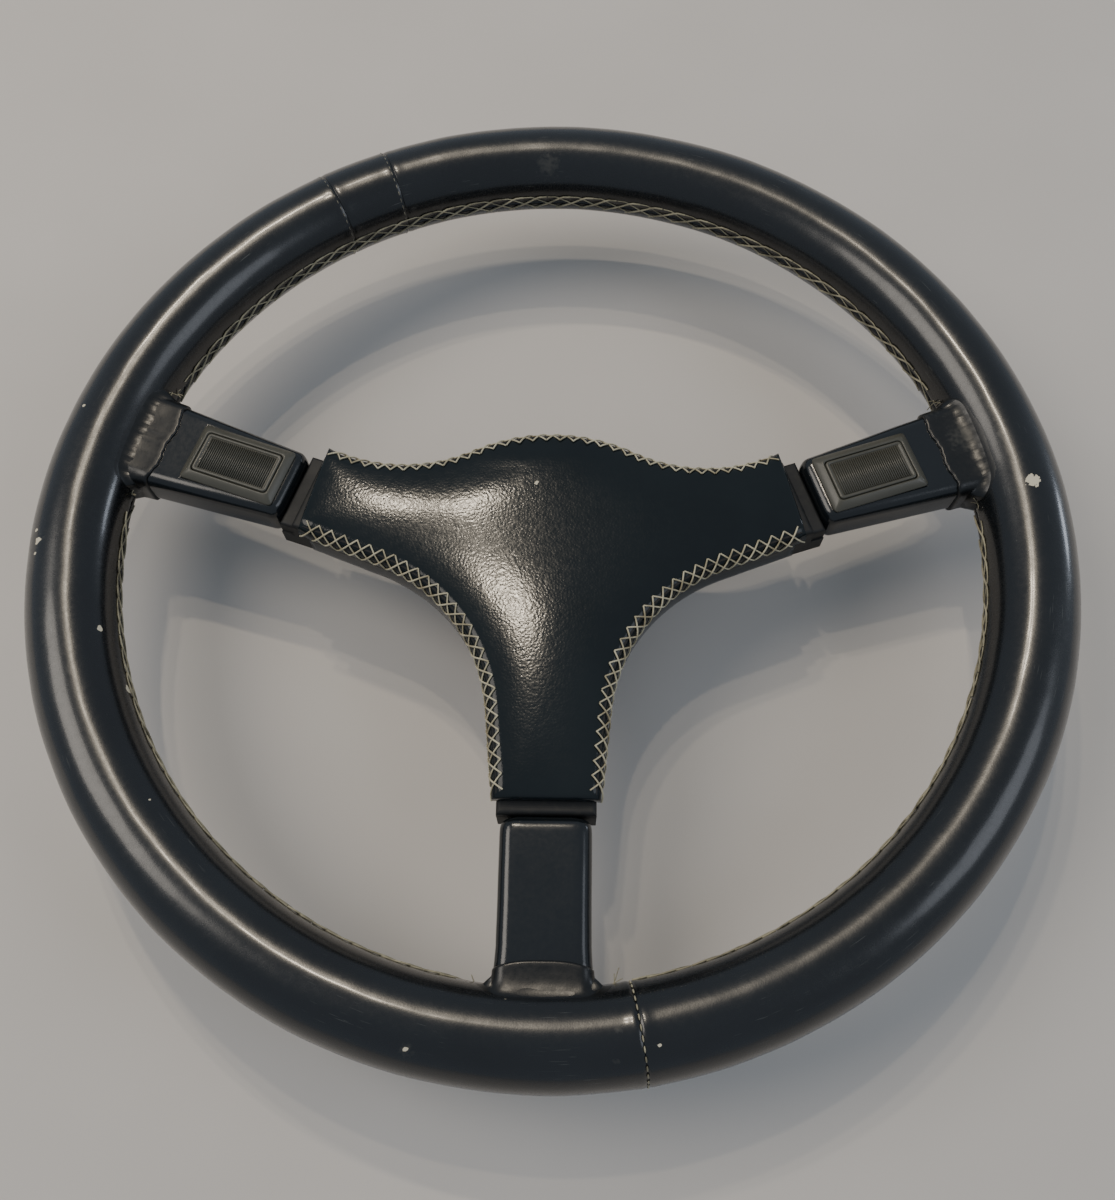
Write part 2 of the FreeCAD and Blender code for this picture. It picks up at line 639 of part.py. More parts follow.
def make_wire(side):
    """Insulated wire from a push's fixed contact, over the clamp ring, to the hub's terminal."""
    radius = size("wire")
    floor = size("plate_low") + size("plate_thick")
    low, high = floor + radius + 0.3, size("board_low") - radius - 0.3
    start = size("horn_centre") - size("bezel_length") / 2 + 4
    route = [(start, low), (62.0, low), (50.0, high), (10.0, high)]
    bend = 4.0
    vectors = [FreeCAD.Vector(x, 0, z) for x, z in route]
    edges = []
    last = vectors[0]
    for before, corner, after in zip(vectors, vectors[1:], vectors[2:]):
        enter = corner + (before - corner).normalize() * bend
        leave = corner + (after - corner).normalize() * bend
        inside = (before - corner).normalize() + (after - corner).normalize()
        turn = math.pi - (before - corner).getAngle(after - corner)
        arc_radius = bend / math.tan(turn / 2)
        centre = corner + inside.normalize() * (arc_radius / math.cos(turn / 2))
        middle = centre + (corner - centre).normalize() * arc_radius
        edges += [Part.LineSegment(last, enter).toShape(), Part.Arc(enter, middle, leave).toShape()]
        last = leave
    edges.append(Part.LineSegment(last, vectors[-1]).toShape())
    path = Part.Wire(edges)
    section = Part.Wire([Part.makeCircle(radius, vectors[0], FreeCAD.Vector(1, 0, 0))])
    wire = path.makePipeShell([section], True, False)
    piece = doc.addObject("Part::Feature", f"wire_{side}")
    piece.Shape = wire
    print("wire", side, "volume ratio", round(wire.Volume / (math.pi * radius ** 2 * path.Length), 4))
    keep(f"horn_wire_{side}", spoke_placement(piece, side))


# ---------------------------------------------------------------- quick release hub
def make_release_hub():
    """Flanged barrel with a splined socket and radial seats for the lock balls."""
    body = turned("release_hub_body", [
        ("dim.spline_root", "dim.spline_low"), ("dim.spline_root", "dim.socket_depth"),
        ("4", "dim.socket_depth"), ("4", "dim.plate_low + dim.plate_thick"),
        ("dim.spigot_radius", "dim.plate_low + dim.plate_thick"), ("dim.spigot_radius", "dim.plate_low"),
        ("dim.flange_radius", "dim.plate_low"), ("dim.flange_radius", "dim.flange_low"),
        ("dim.barrel_radius", "dim.flange_low"), ("dim.barrel_radius", "3.2"),
        ("dim.barrel_radius - 1.2", "3.2"), ("dim.barrel_radius - 1.2", "2"),
        ("dim.barrel_radius", "2"), ("dim.barrel_radius", "0.6"), ("dim.barrel_radius - 0.6", "0"),
        ("dim.pilot_radius + 0.8", "0"), ("dim.pilot_radius", "0.8"),
        ("dim.pilot_radius", "dim.pilot_top"), ("dim.socket_radius", "dim.pilot_top"),
        ("dim.socket_radius", "dim.spline_low")])
    groove_sketch = sketch_on(body, "XY_Plane", "spline_outline", "dim.spline_low")
    root, tip, half = size("spline_root") - 0.5, size("socket_radius"), 0.9
    corners = [(root, -half), (tip, -half), (tip, half), (root, half)]
    for i, (x, y) in enumerate(corners):
        groove_sketch.addGeometry(line(x, y, *corners[(i + 1) % 4]), False)
    for i in range(4):
        groove_sketch.addConstraint(Sketcher.Constraint("Coincident", i, 2, (i + 1) % 4, 1))
    groove = body.newObject("PartDesign::Pocket", "spline_groove")
    groove.Profile = groove_sketch
    groove.Reversed = True
    bind(groove, Length="dim.socket_depth - dim.spline_low")
    doc.recompute()
    before = body.Shape.Volume
    polar(body, groove, SPLINES)
    doc.recompute()
    print("spline grooves take", round(before - body.Shape.Volume), "mm3")
    seats = []
    for i in range(BALLS):
        turn = FreeCAD.Rotation(FreeCAD.Vector(0, 0, 1), 360 / BALLS * i)
        level = FreeCAD.Vector(0, 0, size("ball_level"))
        outwards = turn.multiply(FreeCAD.Rotation(FreeCAD.Vector(0, 1, 0), 90))
        for kind, near, far, narrowing in (("bore", -0.4, 4.0, 0.0), ("seat", -3.0, -0.4, 0.75)):
            seat = doc.addObject("Part::Cone", f"ball_{kind}_{i}")
            seat_radius = "dim.ball_radius + 0.12"
            bind(seat, Radius1=f"{seat_radius} - {narrowing + 0.0001}", Radius2=seat_radius,
                 Height=str(far - near))
            start = turn.multVec(FreeCAD.Vector(size("ball_seat") + near, 0, 0))
            seat.Placement = FreeCAD.Placement(level + start, outwards)
            seats.append(seat)
    threads = screw_holes("flange_threads", "dim.screw_radius + 0.05", "dim.flange_low",
                          "dim.plate_low - dim.flange_low")
    keep("release_hub", cut("release_hub_cut", body, threads, *seats))


def make_collar():
    """Pull collar: a bore that slides on the barrel, opening as a cone over the balls."""
    reach = "(dim.ball_radius + 0.05) * sqrt(1 + dim.collar_slope * dim.collar_slope)"
    cone = f"dim.ball_seat + dim.collar_slope * dim.ball_level + {reach}"
    bore = "dim.barrel_radius + 0.08"
    body = turned("collar_body", [
        (f"{cone} - dim.collar_slope * dim.collar_low", "dim.collar_low"),
        (bore, f"({cone} - ({bore})) / dim.collar_slope"), (bore, "dim.collar_top"),
        ("dim.grip_radius - 1", "dim.collar_top"), ("dim.grip_radius", "dim.collar_top - 1"),
        ("dim.grip_radius", "dim.collar_top - 5"), ("dim.collar_radius", "dim.collar_top - 8"),
        ("dim.collar_radius", "dim.collar_low + 0.8"), ("dim.collar_radius - 0.8", "dim.collar_low")])
    sketch = sketch_on(body, "XY_Plane", "grip_outline", "dim.collar_top")
    sketch.addGeometry(Part.Circle(FreeCAD.Vector(size("grip_radius") + 1.6, 0, 0),
                                   FreeCAD.Vector(0, 0, 1), 2.6), False)
    scallop = body.newObject("PartDesign::Pocket", "grip_scallop")
    scallop.Profile = sketch
    scallop.Length = 9
    polar(body, scallop, 24)
    keep("release_collar", body)


def make_release_parts():
    """Spring, stop washer, snap ring and lock balls."""
    keep("release_spring", tube("collar_spring", "24.4", "21", "dim.collar_top + 0.05",
                                "dim.flange_low - dim.collar_top - 0.1"))
    keep("collar_stop_washer", tube("stop_washer", "27", "dim.barrel_radius + 0.1", "3.25", "1.15"))
    ring = tube("snap_ring_blank", "22.2", "dim.barrel_radius - 1.15", "2.05", "1.1")
    gap = doc.addObject("Part::Box", "snap_ring_gap")
    gap.Length, gap.Width, gap.Height = 30, 8, 10
    gap.Placement.Base = FreeCAD.Vector(0, -4, 0)
    keep("collar_snap_ring", cut("snap_ring", ring, gap))
    for i in range(BALLS):
        angle = math.radians(360 / BALLS * i)
        ball = doc.addObject("Part::Sphere", f"ball_{i + 1}")
        bind(ball, Radius="dim.ball_radius", Placement__Base__z="dim.ball_level",
             Placement__Base__x=f"dim.ball_seat * {math.cos(angle):.9f}",
             Placement__Base__y=f"dim.ball_seat * {math.sin(angle):.9f}")
        keep(f"lock_ball_{i + 1}", ball)


def make_hub_stack():
    """Clamp ring, countersunk screws, and the horn's contact through the hub."""
    top = "dim.plate_low + dim.plate_thick"
    ring = tube("ring_blank", "dim.plate_radius", "dim.spigot_radius + 1.1", top, "2.5")
    cones = []
    for i in range(SCREWS):
        angle = math.radians(FIRST_SCREW + 360 / SCREWS * i)
        cone = doc.addObject("Part::Cone", f"countersink_{i}")
        bind(cone, Radius1="dim.screw_radius + 0.15", Radius2="dim.screw_head + 0.15", Height="2.5",
             Placement__Base__z=top, Placement__Base__x=f"dim.screw_circle * {math.cos(angle):.9f}",
             Placement__Base__y=f"dim.screw_circle * {math.sin(angle):.9f}")
        cones.append(cone)
    keep("clamp_ring", cut("ring", ring, *cones))
    screw = turned("screw_master", [
        ("2", "50.5"), ("dim.screw_head", "50.5"), ("dim.screw_radius", "48"), ("dim.screw_radius", "38.6"),
        ("dim.screw_radius - 0.5", "38.1"), ("0", "38.1"), ("0", "48.6"), ("2", "48.6")])
    doc.recompute()
    shapes = []
    for i in range(SCREWS):
        turn = FreeCAD.Rotation(FreeCAD.Vector(0, 0, 1), FIRST_SCREW + 360 / SCREWS * i)
        copy = screw.Shape.copy()
        copy.Placement = FreeCAD.Placement(turn.multVec(FreeCAD.Vector(size("screw_circle"), 0, 0)), turn)
        shapes.append(copy)
    keep("hub_screws", group("screws", shapes))
    keep("horn_contact_bush", turned("contact_bush", [
        ("1.6", "32"), ("3.9", "32"), ("3.9", f"{top} + 0.1"), ("7", f"{top} + 0.1"),
        ("7", f"{top} + 1.2"), ("1.6", f"{top} + 1.2")]))
    keep("horn_contact_pin", turned("contact_pin", [
        ("0", "26"), ("1", "26"), ("1.5", "26.5"), ("1.5", f"{top} + 1.3"), ("5.5", f"{top} + 1.3"),
        ("5.5", f"{top} + 2.4"), ("0", f"{top} + 2.4")]))


make_rim()
make_rim_lacing()
make_seam_threads()
make_plate()
make_sleeves()
make_tray()
make_pad_frame()
make_pad()
make_clips()
for horn_side in SIDES:
    make_horn_push(horn_side)
    make_wire(horn_side)
make_release_hub()
make_collar()
make_release_parts()
make_hub_stack()
doc.recompute()

# ---------------------------------------------------------------- check and write
faults = [item.Name for item in doc.Objects if {"Invalid", "Error"} & set(item.State)]
for node, piece in sub_parts.items():
    if piece.Shape.isNull() or not piece.Shape.isValid() or not piece.Shape.Solids:
        faults.append(node)
if faults:
    raise RuntimeError(f"failed: {faults}")
os.makedirs("parts", exist_ok=True)
for node, piece in sub_parts.items():
    piece.Shape.exportStep(f"parts/{node}.step")
    print(f"{node:26s} solids {len(piece.Shape.Solids)}  volume {piece.Shape.Volume:9.1f}")
print(len(sub_parts), "nodes")
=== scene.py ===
# %% [markdown]
# A leather steering wheel on a quick release hub
#
# The wheel is a steel ring in a foam tube, wrapped in hide that is laced along its inner side.
# Three pressed arms carry a stitched pad in the middle, a horn push in each side arm and a
# splined hub underneath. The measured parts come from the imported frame. Every soft piece is
# made here, on top of it, and all of it is in metres in the frame's own axes: +Z faces the
# driver and +Y points at twelve o'clock.

# %% Load the frame
import math

import bmesh
import bpy
import numpy as np
from mathutils import Matrix, Vector, geometry, noise


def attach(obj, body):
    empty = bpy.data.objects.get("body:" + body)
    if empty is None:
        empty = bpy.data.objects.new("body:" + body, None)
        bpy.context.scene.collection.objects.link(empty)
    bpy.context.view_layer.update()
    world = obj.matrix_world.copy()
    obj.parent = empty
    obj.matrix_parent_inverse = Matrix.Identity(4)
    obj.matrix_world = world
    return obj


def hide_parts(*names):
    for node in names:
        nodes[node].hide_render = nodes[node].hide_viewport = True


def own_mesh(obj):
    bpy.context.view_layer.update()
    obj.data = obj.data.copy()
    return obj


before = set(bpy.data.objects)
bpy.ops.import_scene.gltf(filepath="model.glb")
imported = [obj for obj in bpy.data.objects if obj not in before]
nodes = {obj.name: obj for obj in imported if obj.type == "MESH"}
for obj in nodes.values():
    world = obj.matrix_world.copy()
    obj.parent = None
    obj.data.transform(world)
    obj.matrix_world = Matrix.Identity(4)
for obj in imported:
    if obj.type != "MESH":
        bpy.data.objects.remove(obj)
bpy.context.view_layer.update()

MM = 0.001
scene = bpy.context.scene

# %% [markdown]
# Camera, floor and light
#
# The wheel lies face up, seen from above and a little from six o'clock, with an ordinary
# phone's field of view. A plain pale floor, two broad soft lights and a low window keep the
# black hide readable. Three small ceiling lights give the narrow highlights along the rim and
# the soft blobs on the pad that polished leather shows.

# %% Camera
def link(name, data):
    """A new object in the scene."""
    thing = bpy.data.objects.new(name, data)
    scene.collection.objects.link(thing)
    return thing


AIM, DISTANCE = Vector((2.8, -46.0, 50.0)) * MM, 393.7 * MM
AZIMUTH, ELEVATION, ROLL = math.radians(1.72), math.radians(69.48), math.radians(-0.84)
back = Vector((math.sin(AZIMUTH) * math.cos(ELEVATION),
               -math.cos(AZIMUTH) * math.cos(ELEVATION), math.sin(ELEVATION)))
level = Vector((0, 0, 1)).cross(back).normalized()
upright = back.cross(level)
right = math.cos(ROLL) * level + math.sin(ROLL) * upright
up = math.cos(ROLL) * upright - math.sin(ROLL) * level
camera = link("camera", bpy.data.cameras.new("camera"))
camera.matrix_world = Matrix((right, up, back)).transposed().to_4x4()
camera.matrix_world.translation = AIM + DISTANCE * back
camera.data.sensor_fit = "AUTO"
camera.data.sensor_width = 36.0
camera.data.lens = 33.51
camera.data.shift_y = 0.0478
camera.data.clip_start = 0.01
scene.camera = camera
print("camera at", [round(c, 4) for c in camera.matrix_world.translation])


# %% Colours and nodes
def srgb(code):
    """Linear RGBA from an sRGB hex code."""
    parts = [int(code[i:i + 2], 16) / 255 for i in (1, 3, 5)]
    return tuple(c / 12.92 if c <= 0.04045 else ((c + 0.055) / 1.055) ** 2.4 for c in parts) + (1.0,)


def add_node(tree, kind, inputs=None, **settings):
    """Add a node; inputs are values, sockets, or nodes, whose first output is meant."""
    node = tree.nodes.new(kind)
    for name, value in settings.items():
        setattr(node, name, value)
    for name, value in (inputs or {}).items():
        if isinstance(value, bpy.types.Node):
            value = value.outputs[0]
        if isinstance(value, bpy.types.NodeSocket):
            tree.links.new(value, node.inputs[name])
        else:
            node.inputs[name].default_value = value
    return node


def new_material(name):
    """An empty node material and its tree."""
    material = bpy.data.materials.new(name)
    material.use_nodes = True
    material.node_tree.nodes.clear()
    return material, material.node_tree


def close_material(tree, shader):
    """Send the shader to the surface."""
    add_node(tree, "ShaderNodeOutputMaterial", {"Surface": shader})


# %% Floor and lights
floor_paint, tree = new_material("studio_floor_matt_paint")
speckle = add_node(tree, "ShaderNodeTexNoise", {"Scale": 60.0, "Detail": 3.0})
tone = add_node(tree, "ShaderNodeMix", {0: speckle, 6: srgb("#c9c3bb"), 7: srgb("#d3cdc6")},
                data_type="RGBA")
close_material(tree, add_node(tree, "ShaderNodeBsdfPrincipled", {
    "Base Color": tone.outputs[2], "Roughness": 0.75}))
floor_mesh = bpy.data.meshes.new("floor")
floor_mesh.from_pydata([(-3, -3, 0), (3, -3, 0), (3, 3, 0), (-3, 3, 0)], [], [(0, 1, 2, 3)])
floor_mesh.materials.append(floor_paint)
floor = link("floor", floor_mesh)

world = bpy.data.worlds.new("soft_room")
world.use_nodes = True
world.node_tree.nodes["Background"].inputs["Color"].default_value = srgb("#cfdcec")
world.node_tree.nodes["Background"].inputs["Strength"].default_value = 0.48
scene.world = world

WHEEL = (0.0, 0.0, 0.05)
LIGHTS = {"key_soft": ((-1.3, 0.15, 1.6), WHEEL, 1.1, 14.0, "#fff6ea"),
          "fill_soft": ((1.75, -0.25, 1.6), WHEEL, 1.2, 7.0, "#eef4ff"),
          "window_low": ((2.2, 0.95, 0.42), (-0.1, 0.0, 0.05), 0.35, 3.0, "#e8f1ff"),
          "ceiling_left": ((-0.40, 0.967, 1.75), WHEEL, 0.05, 3.3, "#fff0d8"),
          "ceiling_middle": ((-0.225, 0.937, 1.75), WHEEL, 0.045, 3.2, "#fff0d8"),
          "ceiling_near": ((-0.174, 0.66, 1.75), WHEEL, 0.045, 3.2, "#fff0d8")}
for name, (place, target, width, watts, colour) in LIGHTS.items():
    lamp = bpy.data.lights.new(name, "AREA")
    lamp.shape, lamp.size, lamp.energy = "DISK", width, watts
    lamp.color = srgb(colour)[:3]
    holder = link(name, lamp)
    holder.location = place
    holder.rotation_euler = (Vector(target) - Vector(place)).to_track_quat("-Z", "Y").to_euler()
print("lights:", len(LIGHTS))


# %% [markdown]
# Mesh helpers
#
# Most pieces here are skins: a row of rings, each a loop of points, joined with quads. One
# helper turns rings into a closed mesh, and one puts a finished piece on its body and hides the
# measured parts that it stands for.

# %% Rings to meshes
def mesh_object(name, points, faces, material, smooth=True):
    """A linked object with its place in its mesh, faces turned outwards."""
    mesh = bpy.data.meshes.new(name)
    mesh.from_pydata([tuple(p) for p in points], [], faces)
    mesh.update()
    work = bmesh.new()
    work.from_mesh(mesh)
    bmesh.ops.recalc_face_normals(work, faces=work.faces)
    work.to_mesh(mesh)
    work.free()
    mesh.polygons.foreach_set("use_smooth", [smooth] * len(mesh.polygons))
    mesh.materials.append(material)
    return link(name, mesh)


def plain_mesh(thing):
    """The mesh that an object's modifiers or its curve make."""
    return bpy.data.meshes.new_from_object(thing.evaluated_get(bpy.context.evaluated_depsgraph_get()))


def ring_faces(rows, columns, closed_rows=False):
    """Quads between rows of points, each row a ring; closed rows join the last to the first."""
    faces = []
    for i in range(rows if closed_rows else rows - 1):
        for j in range(columns):
            a, b = i * columns, (i + 1) % rows * columns
            faces.append((a + j, a + (j + 1) % columns, b + (j + 1) % columns, b + j))
    return faces


def capped_skin(name, rings, material, smooth=True):
    """Closed skin over rings of equal length, with both ends capped."""
    rows, columns = rings.shape[:2]
    faces = ring_faces(rows, columns)
    faces += [tuple(reversed(range(columns))), tuple((rows - 1) * columns + j for j in range(columns))]
    return mesh_object(name, rings.reshape(-1, 3), faces, material, smooth)


def settle(piece, body, slot, *stands_for):
    """Put a finished piece on its body in place of measured nodes, which it hides; the slot is not used."""
    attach(piece, body)
    if stands_for:
        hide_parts(*stands_for)
    return piece


SPOKES = {"right": (Vector((4.45, -13.06, 0)) * MM, math.radians(18.8)),
          "left": (Vector((-4.45, -13.06, 0)) * MM, math.radians(161.2)),
          "bottom": (Vector((0, 0, 0)), math.radians(-90))}


def spoke_matrix(spoke):
    """From a spoke's own frame, X outwards, to the wheel's."""
    origin, turn = SPOKES[spoke]
    return Matrix.Translation(origin) @ Matrix.Rotation(turn, 4, "Z")


# %% [markdown]
# Hides
#
# The rim is wrapped in smooth cowhide, dyed in the drum and waxed: close, slightly slate
# black, with a low broad sheen that hands have polished. The pad is a softer hide with a
# visible pebble grain, a fraction of a millimetre across. Both are dielectric, so IOR stays at
# about 1.5. The colour drifts slowly between two near blacks, the grain is a Voronoi
# bump sized in millimetres, and the roughness drifts too, because wax never lies evenly.
# Scratches and bare flecks are paler: the dye is only skin deep, and the hide under it is tan.
# Each is a mask, and the colours are laid one over another through the masks in turn. Rubs are
# lighter grey: wear at the spoke roots, and on the rim partly wear and partly painted sheen where
# the lamps' highlights fall on it. The sleeves wear the rim's hide less handled, and at the spoke
# roots it has gone dull.

# %% Leather builder
def hide(name, deep, worn, grain, depth, gloss, coat, wavy=0.3, mirror=0.5, scratches=0.0,
         flecks=(), rub_and_sheen=()):
    """Dyed hide; grain, depth and wavy in millimetres, flecks and rubs as (place, radius); rubs are lighter
    grey, on the rim partly painted sheen.
    """
    material, tree = new_material(name)
    here = add_node(tree, "ShaderNodeTexCoord").outputs["Object"]
    drift = add_node(tree, "ShaderNodeTexNoise", {"Vector": here, "Scale": 1 / (38 * MM), "Detail": 4.0})
    patchy = add_node(tree, "ShaderNodeMapRange", {0: drift, 1: 0.35, 2: 0.68})
    coats = [(patchy, worn)]
    pores = add_node(tree, "ShaderNodeTexVoronoi", {"Vector": here, "Scale": 1 / (grain * MM)},
                     feature="SMOOTH_F1")
    creases = add_node(tree, "ShaderNodeTexNoise", {
        "Vector": here, "Scale": 1 / (grain * 3.2 * MM), "Detail": 5.0, "Roughness": 0.6})
    rough = add_node(tree, "ShaderNodeMapRange", {0: creases, 1: 0.3, 2: 0.7, 3: gloss[0], 4: gloss[1]})
    if scratches:
        path = add_node(tree, "ShaderNodeAttribute", attribute_name="hide_path").outputs["Vector"]
        long = add_node(tree, "ShaderNodeMapping", {
            "Vector": path, "Scale": (0.09, 2.4, 1.0), "Rotation": (0, 0, 0.35)})
        lines = add_node(tree, "ShaderNodeTexNoise", {"Vector": long, "Scale": 1.0, "Detail": 2.0})
        thin = add_node(tree, "ShaderNodeMapRange", {0: lines, 1: 0.665, 2: 0.71})
        where = add_node(tree, "ShaderNodeTexNoise", {"Vector": path, "Scale": 0.03, "Detail": 1.0})
        some = add_node(tree, "ShaderNodeMapRange", {0: where, 1: 0.5, 2: 0.62, 4: scratches})
        marks = add_node(tree, "ShaderNodeMath", {0: thin, 1: some}, operation="MULTIPLY")
        specks = add_node(tree, "ShaderNodeTexVoronoi", {"Vector": here, "Scale": 1 / (21 * MM)})
        dots = add_node(tree, "ShaderNodeMapRange", {
            0: specks.outputs["Distance"], 1: 0.016, 2: 0.008, 4: 0.4})
        coats += [(marks, "#5c5e5b"), (dots, "#b9b4a6")]
    ragged = add_node(tree, "ShaderNodeTexNoise", {"Vector": here, "Scale": 1 / (1.6 * MM), "Detail": 3.0})
    # Rubs lay a lighter, rougher grey: wear at the spoke roots, and on the rim partly wear and partly
    # painted sheen where highlights fall.
    for spots, tint, edge, strength in ((rub_and_sheen, "#4a4943", 1.1, 0.45), (flecks, "#d6cdb4", 0.12, 1.0)):
        for place, radius in spots:
            size = radius * MM
            gap = add_node(tree, "ShaderNodeVectorMath", {0: here, 1: Vector(place)}, operation="DISTANCE")
            torn = add_node(tree, "ShaderNodeMath", {0: ragged, 1: size * 2.6, 2: gap.outputs["Value"]},
                            operation="MULTIPLY_ADD")
            mask = add_node(tree, "ShaderNodeMapRange", {
                0: torn, 1: size * 2.3, 2: size * (2.3 - edge), 4: strength})
            coats.append((mask, tint))
            rough = add_node(tree, "ShaderNodeMix", {0: mask, 2: rough, 3: 0.7})
    colour = srgb(deep)
    for mask, tint in coats:
        colour = add_node(tree, "ShaderNodeMix", {0: mask, 6: colour, 7: srgb(tint)},
                          data_type="RGBA").outputs[2]
    waves = add_node(tree, "ShaderNodeTexNoise", {"Vector": here, "Scale": 1 / (9 * MM), "Detail": 2.0})
    bump = add_node(tree, "ShaderNodeBump", {"Height": waves, "Strength": 0.25, "Distance": wavy * MM})
    for height, strength in ((creases, 0.5), (pores.outputs["Distance"], 0.8)):
        bump = add_node(tree, "ShaderNodeBump", {
            "Height": height, "Strength": strength, "Distance": depth * MM, "Normal": bump})
    close_material(tree, add_node(tree, "ShaderNodeBsdfPrincipled", {
        "Base Color": colour, "Roughness": rough, "Normal": bump, "IOR": 1.5,
        "Coat Weight": coat, "Coat Roughness": 0.13, "Specular IOR Level": mirror}))
    return material


# %% Leather finishes
# The rim's middle radius, its tube's radius and its height, in millimetres.
RIM, TUBE, LEVEL = 174.0, 16.0, 50.0


def on_rim(around, section, proud=0.0):
    """A point on the rim: clock angle in degrees from +X, and angle round the tube from outside."""
    a, s = math.radians(around), math.radians(section)
    reach = RIM + (TUBE + proud) * math.cos(s)
    return Vector((reach * math.cos(a), reach * math.sin(a), LEVEL + (TUBE + proud) * math.sin(s))) * MM


CHIPS = [(on_rim(5.9, 94.3), 2.5), (on_rim(194.7, 141.9), 1.1), (on_rim(202.6, 172.0), 1.3),
         (on_rim(183.0, 60.4), 1.2), (on_rim(165.3, 68.0), 0.7), (on_rim(181.5, 52.0), 0.8),
         (on_rim(184.5, 56.0), 0.6), (on_rim(257.1, 59.2), 0.8), (on_rim(281.5, 73.4), 0.5),
         (on_rim(266.0, 136.7), 0.5), (on_rim(218.4, 126.7), 0.4)]
# Lighter grey rubs on the rim: those beside chips and the seam are wear, and those at the top and at two
# o'clock are painted sheen where highlights fall.
RUBS_AND_SHEEN = [(on_rim(91.5, 129.4), 5.0), (on_rim(257.1, 59.2), 2.2), (on_rim(277.7, 95.5), 1.4),
        (on_rim(277.2, 62.6), 1.0), (on_rim(13.0, 115.0), 1.5), (on_rim(183.0, 50.0), 4.5)]
ROOT_RUBS = [(Vector((141.0, 53.0, 57.0)) * MM, 5.0), (Vector((152.0, 40.0, 58.0)) * MM, 6.5)]
PAD_FLECK = (Vector((-6.0, 17.0, 62.0)) * MM, 0.8)
rim_hide = hide("waxed_cowhide_smooth_rim", "#0b0d0f", "#121518", grain=0.55, depth=0.010,
                gloss=(0.23, 0.30), coat=0.4, scratches=0.5, flecks=CHIPS, rub_and_sheen=RUBS_AND_SHEEN)
pad_hide = hide("grained_cowhide_pad", "#171d20", "#1d2326", grain=0.80, depth=0.026,
                gloss=(0.11, 0.15), coat=0.0, wavy=0.10, mirror=0.28, flecks=[PAD_FLECK])
sleeve_hide = hide("waxed_cowhide_sleeve", "#111518", "#161a1d", grain=0.5, depth=0.010,
                   gloss=(0.17, 0.23), coat=0.2, wavy=0.1)
root_hide = hide("cowhide_dull_at_the_spoke_roots", "#0b0d0e", "#111314", grain=0.5, depth=0.012,
                 gloss=(0.26, 0.36), coat=0.0, rub_and_sheen=ROOT_RUBS)
print("chips on the rim:", len(CHIPS))

# %% [markdown]
# Thread, plastics and metals
#
# The lacing is waxed linen thread: matt, cream gone khaki with handling, with a twist that is
# drawn as a fine wave. The pushes are injection moulded ABS in a grey brown with a spark
# eroded satin. The hub is turned aluminium: rings from the lathe show as a very fine bump that
# is the same all round the axis. Zinc plate, spring wire, brass and ground balls keep the
# metals' default IOR.

# %% Thread
def thread(name, clean, soiled):
    """Twisted waxed thread, one twist every 0.6 mm, soiled in patches."""
    material, tree = new_material(name)
    here = add_node(tree, "ShaderNodeTexCoord").outputs["Object"]
    dirt = add_node(tree, "ShaderNodeTexNoise", {"Vector": here, "Scale": 1 / (6 * MM), "Detail": 3.0})
    soil = add_node(tree, "ShaderNodeMapRange", {0: dirt, 1: 0.38, 2: 0.66})
    colour = add_node(tree, "ShaderNodeMix", {0: soil, 6: srgb(clean), 7: srgb(soiled)},
                      data_type="RGBA")
    twist = add_node(tree, "ShaderNodeTexWave", {
        "Vector": here, "Scale": 1 / (0.6 * MM) / 6.28, "Distortion": 2.0}, bands_direction="DIAGONAL")
    bump = add_node(tree, "ShaderNodeBump", {
        "Height": twist.outputs[1], "Strength": 0.5, "Distance": 0.08 * MM})
    close_material(tree, add_node(tree, "ShaderNodeBsdfPrincipled", {
        "Base Color": colour.outputs[2], "Roughness": 0.62, "Normal": bump,
        "Sheen Weight": 0.25, "Sheen Roughness": 0.4}))
    return material


pad_thread = thread("waxed_linen_thread_cream", "#cbc3a6", "#9a9073")
rim_thread = thread("waxed_linen_thread_khaki", "#aaa389", "#6f6a56")
seam_thread = thread("waxed_linen_thread_grey", "#8f8a78", "#5c594d")


# %% Plastics, paints and metals
def moulded(name, low, high, rough, grit=0.25, depth=0.02, worn=None):
    """Moulded polymer with a spark eroded texture; grit in millimetres."""
    material, tree = new_material(name)
    here = add_node(tree, "ShaderNodeTexCoord").outputs["Object"]
    cloud = add_node(tree, "ShaderNodeTexNoise", {"Vector": here, "Scale": 1 / (12 * MM), "Detail": 4.0})
    coats = [(cloud, high)]
    if worn:
        edges = add_node(tree, "ShaderNodeTexNoise", {
            "Vector": here, "Scale": 1 / (2.2 * MM), "Detail": 5.0})
        bare = add_node(tree, "ShaderNodeMapRange", {0: edges, 1: 0.52, 2: 0.66, 4: 0.75})
        coats.append((bare, worn))
    colour = srgb(low)
    for mask, tint in coats:
        colour = add_node(tree, "ShaderNodeMix", {0: mask, 6: colour, 7: srgb(tint)},
                          data_type="RGBA").outputs[2]
    sparks = add_node(tree, "ShaderNodeTexNoise", {"Vector": here, "Scale": 1 / (grit * MM), "Detail": 2.0})
    bump = add_node(tree, "ShaderNodeBump", {"Height": sparks, "Strength": 0.5, "Distance": depth * MM})
    sheen = add_node(tree, "ShaderNodeMapRange", {
        0: cloud, 1: 0.3, 2: 0.7, 3: rough - 0.05, 4: rough + 0.06})
    close_material(tree, add_node(tree, "ShaderNodeBsdfPrincipled", {
        "Base Color": colour, "Roughness": sheen, "Normal": bump, "IOR": 1.53}))
    return material


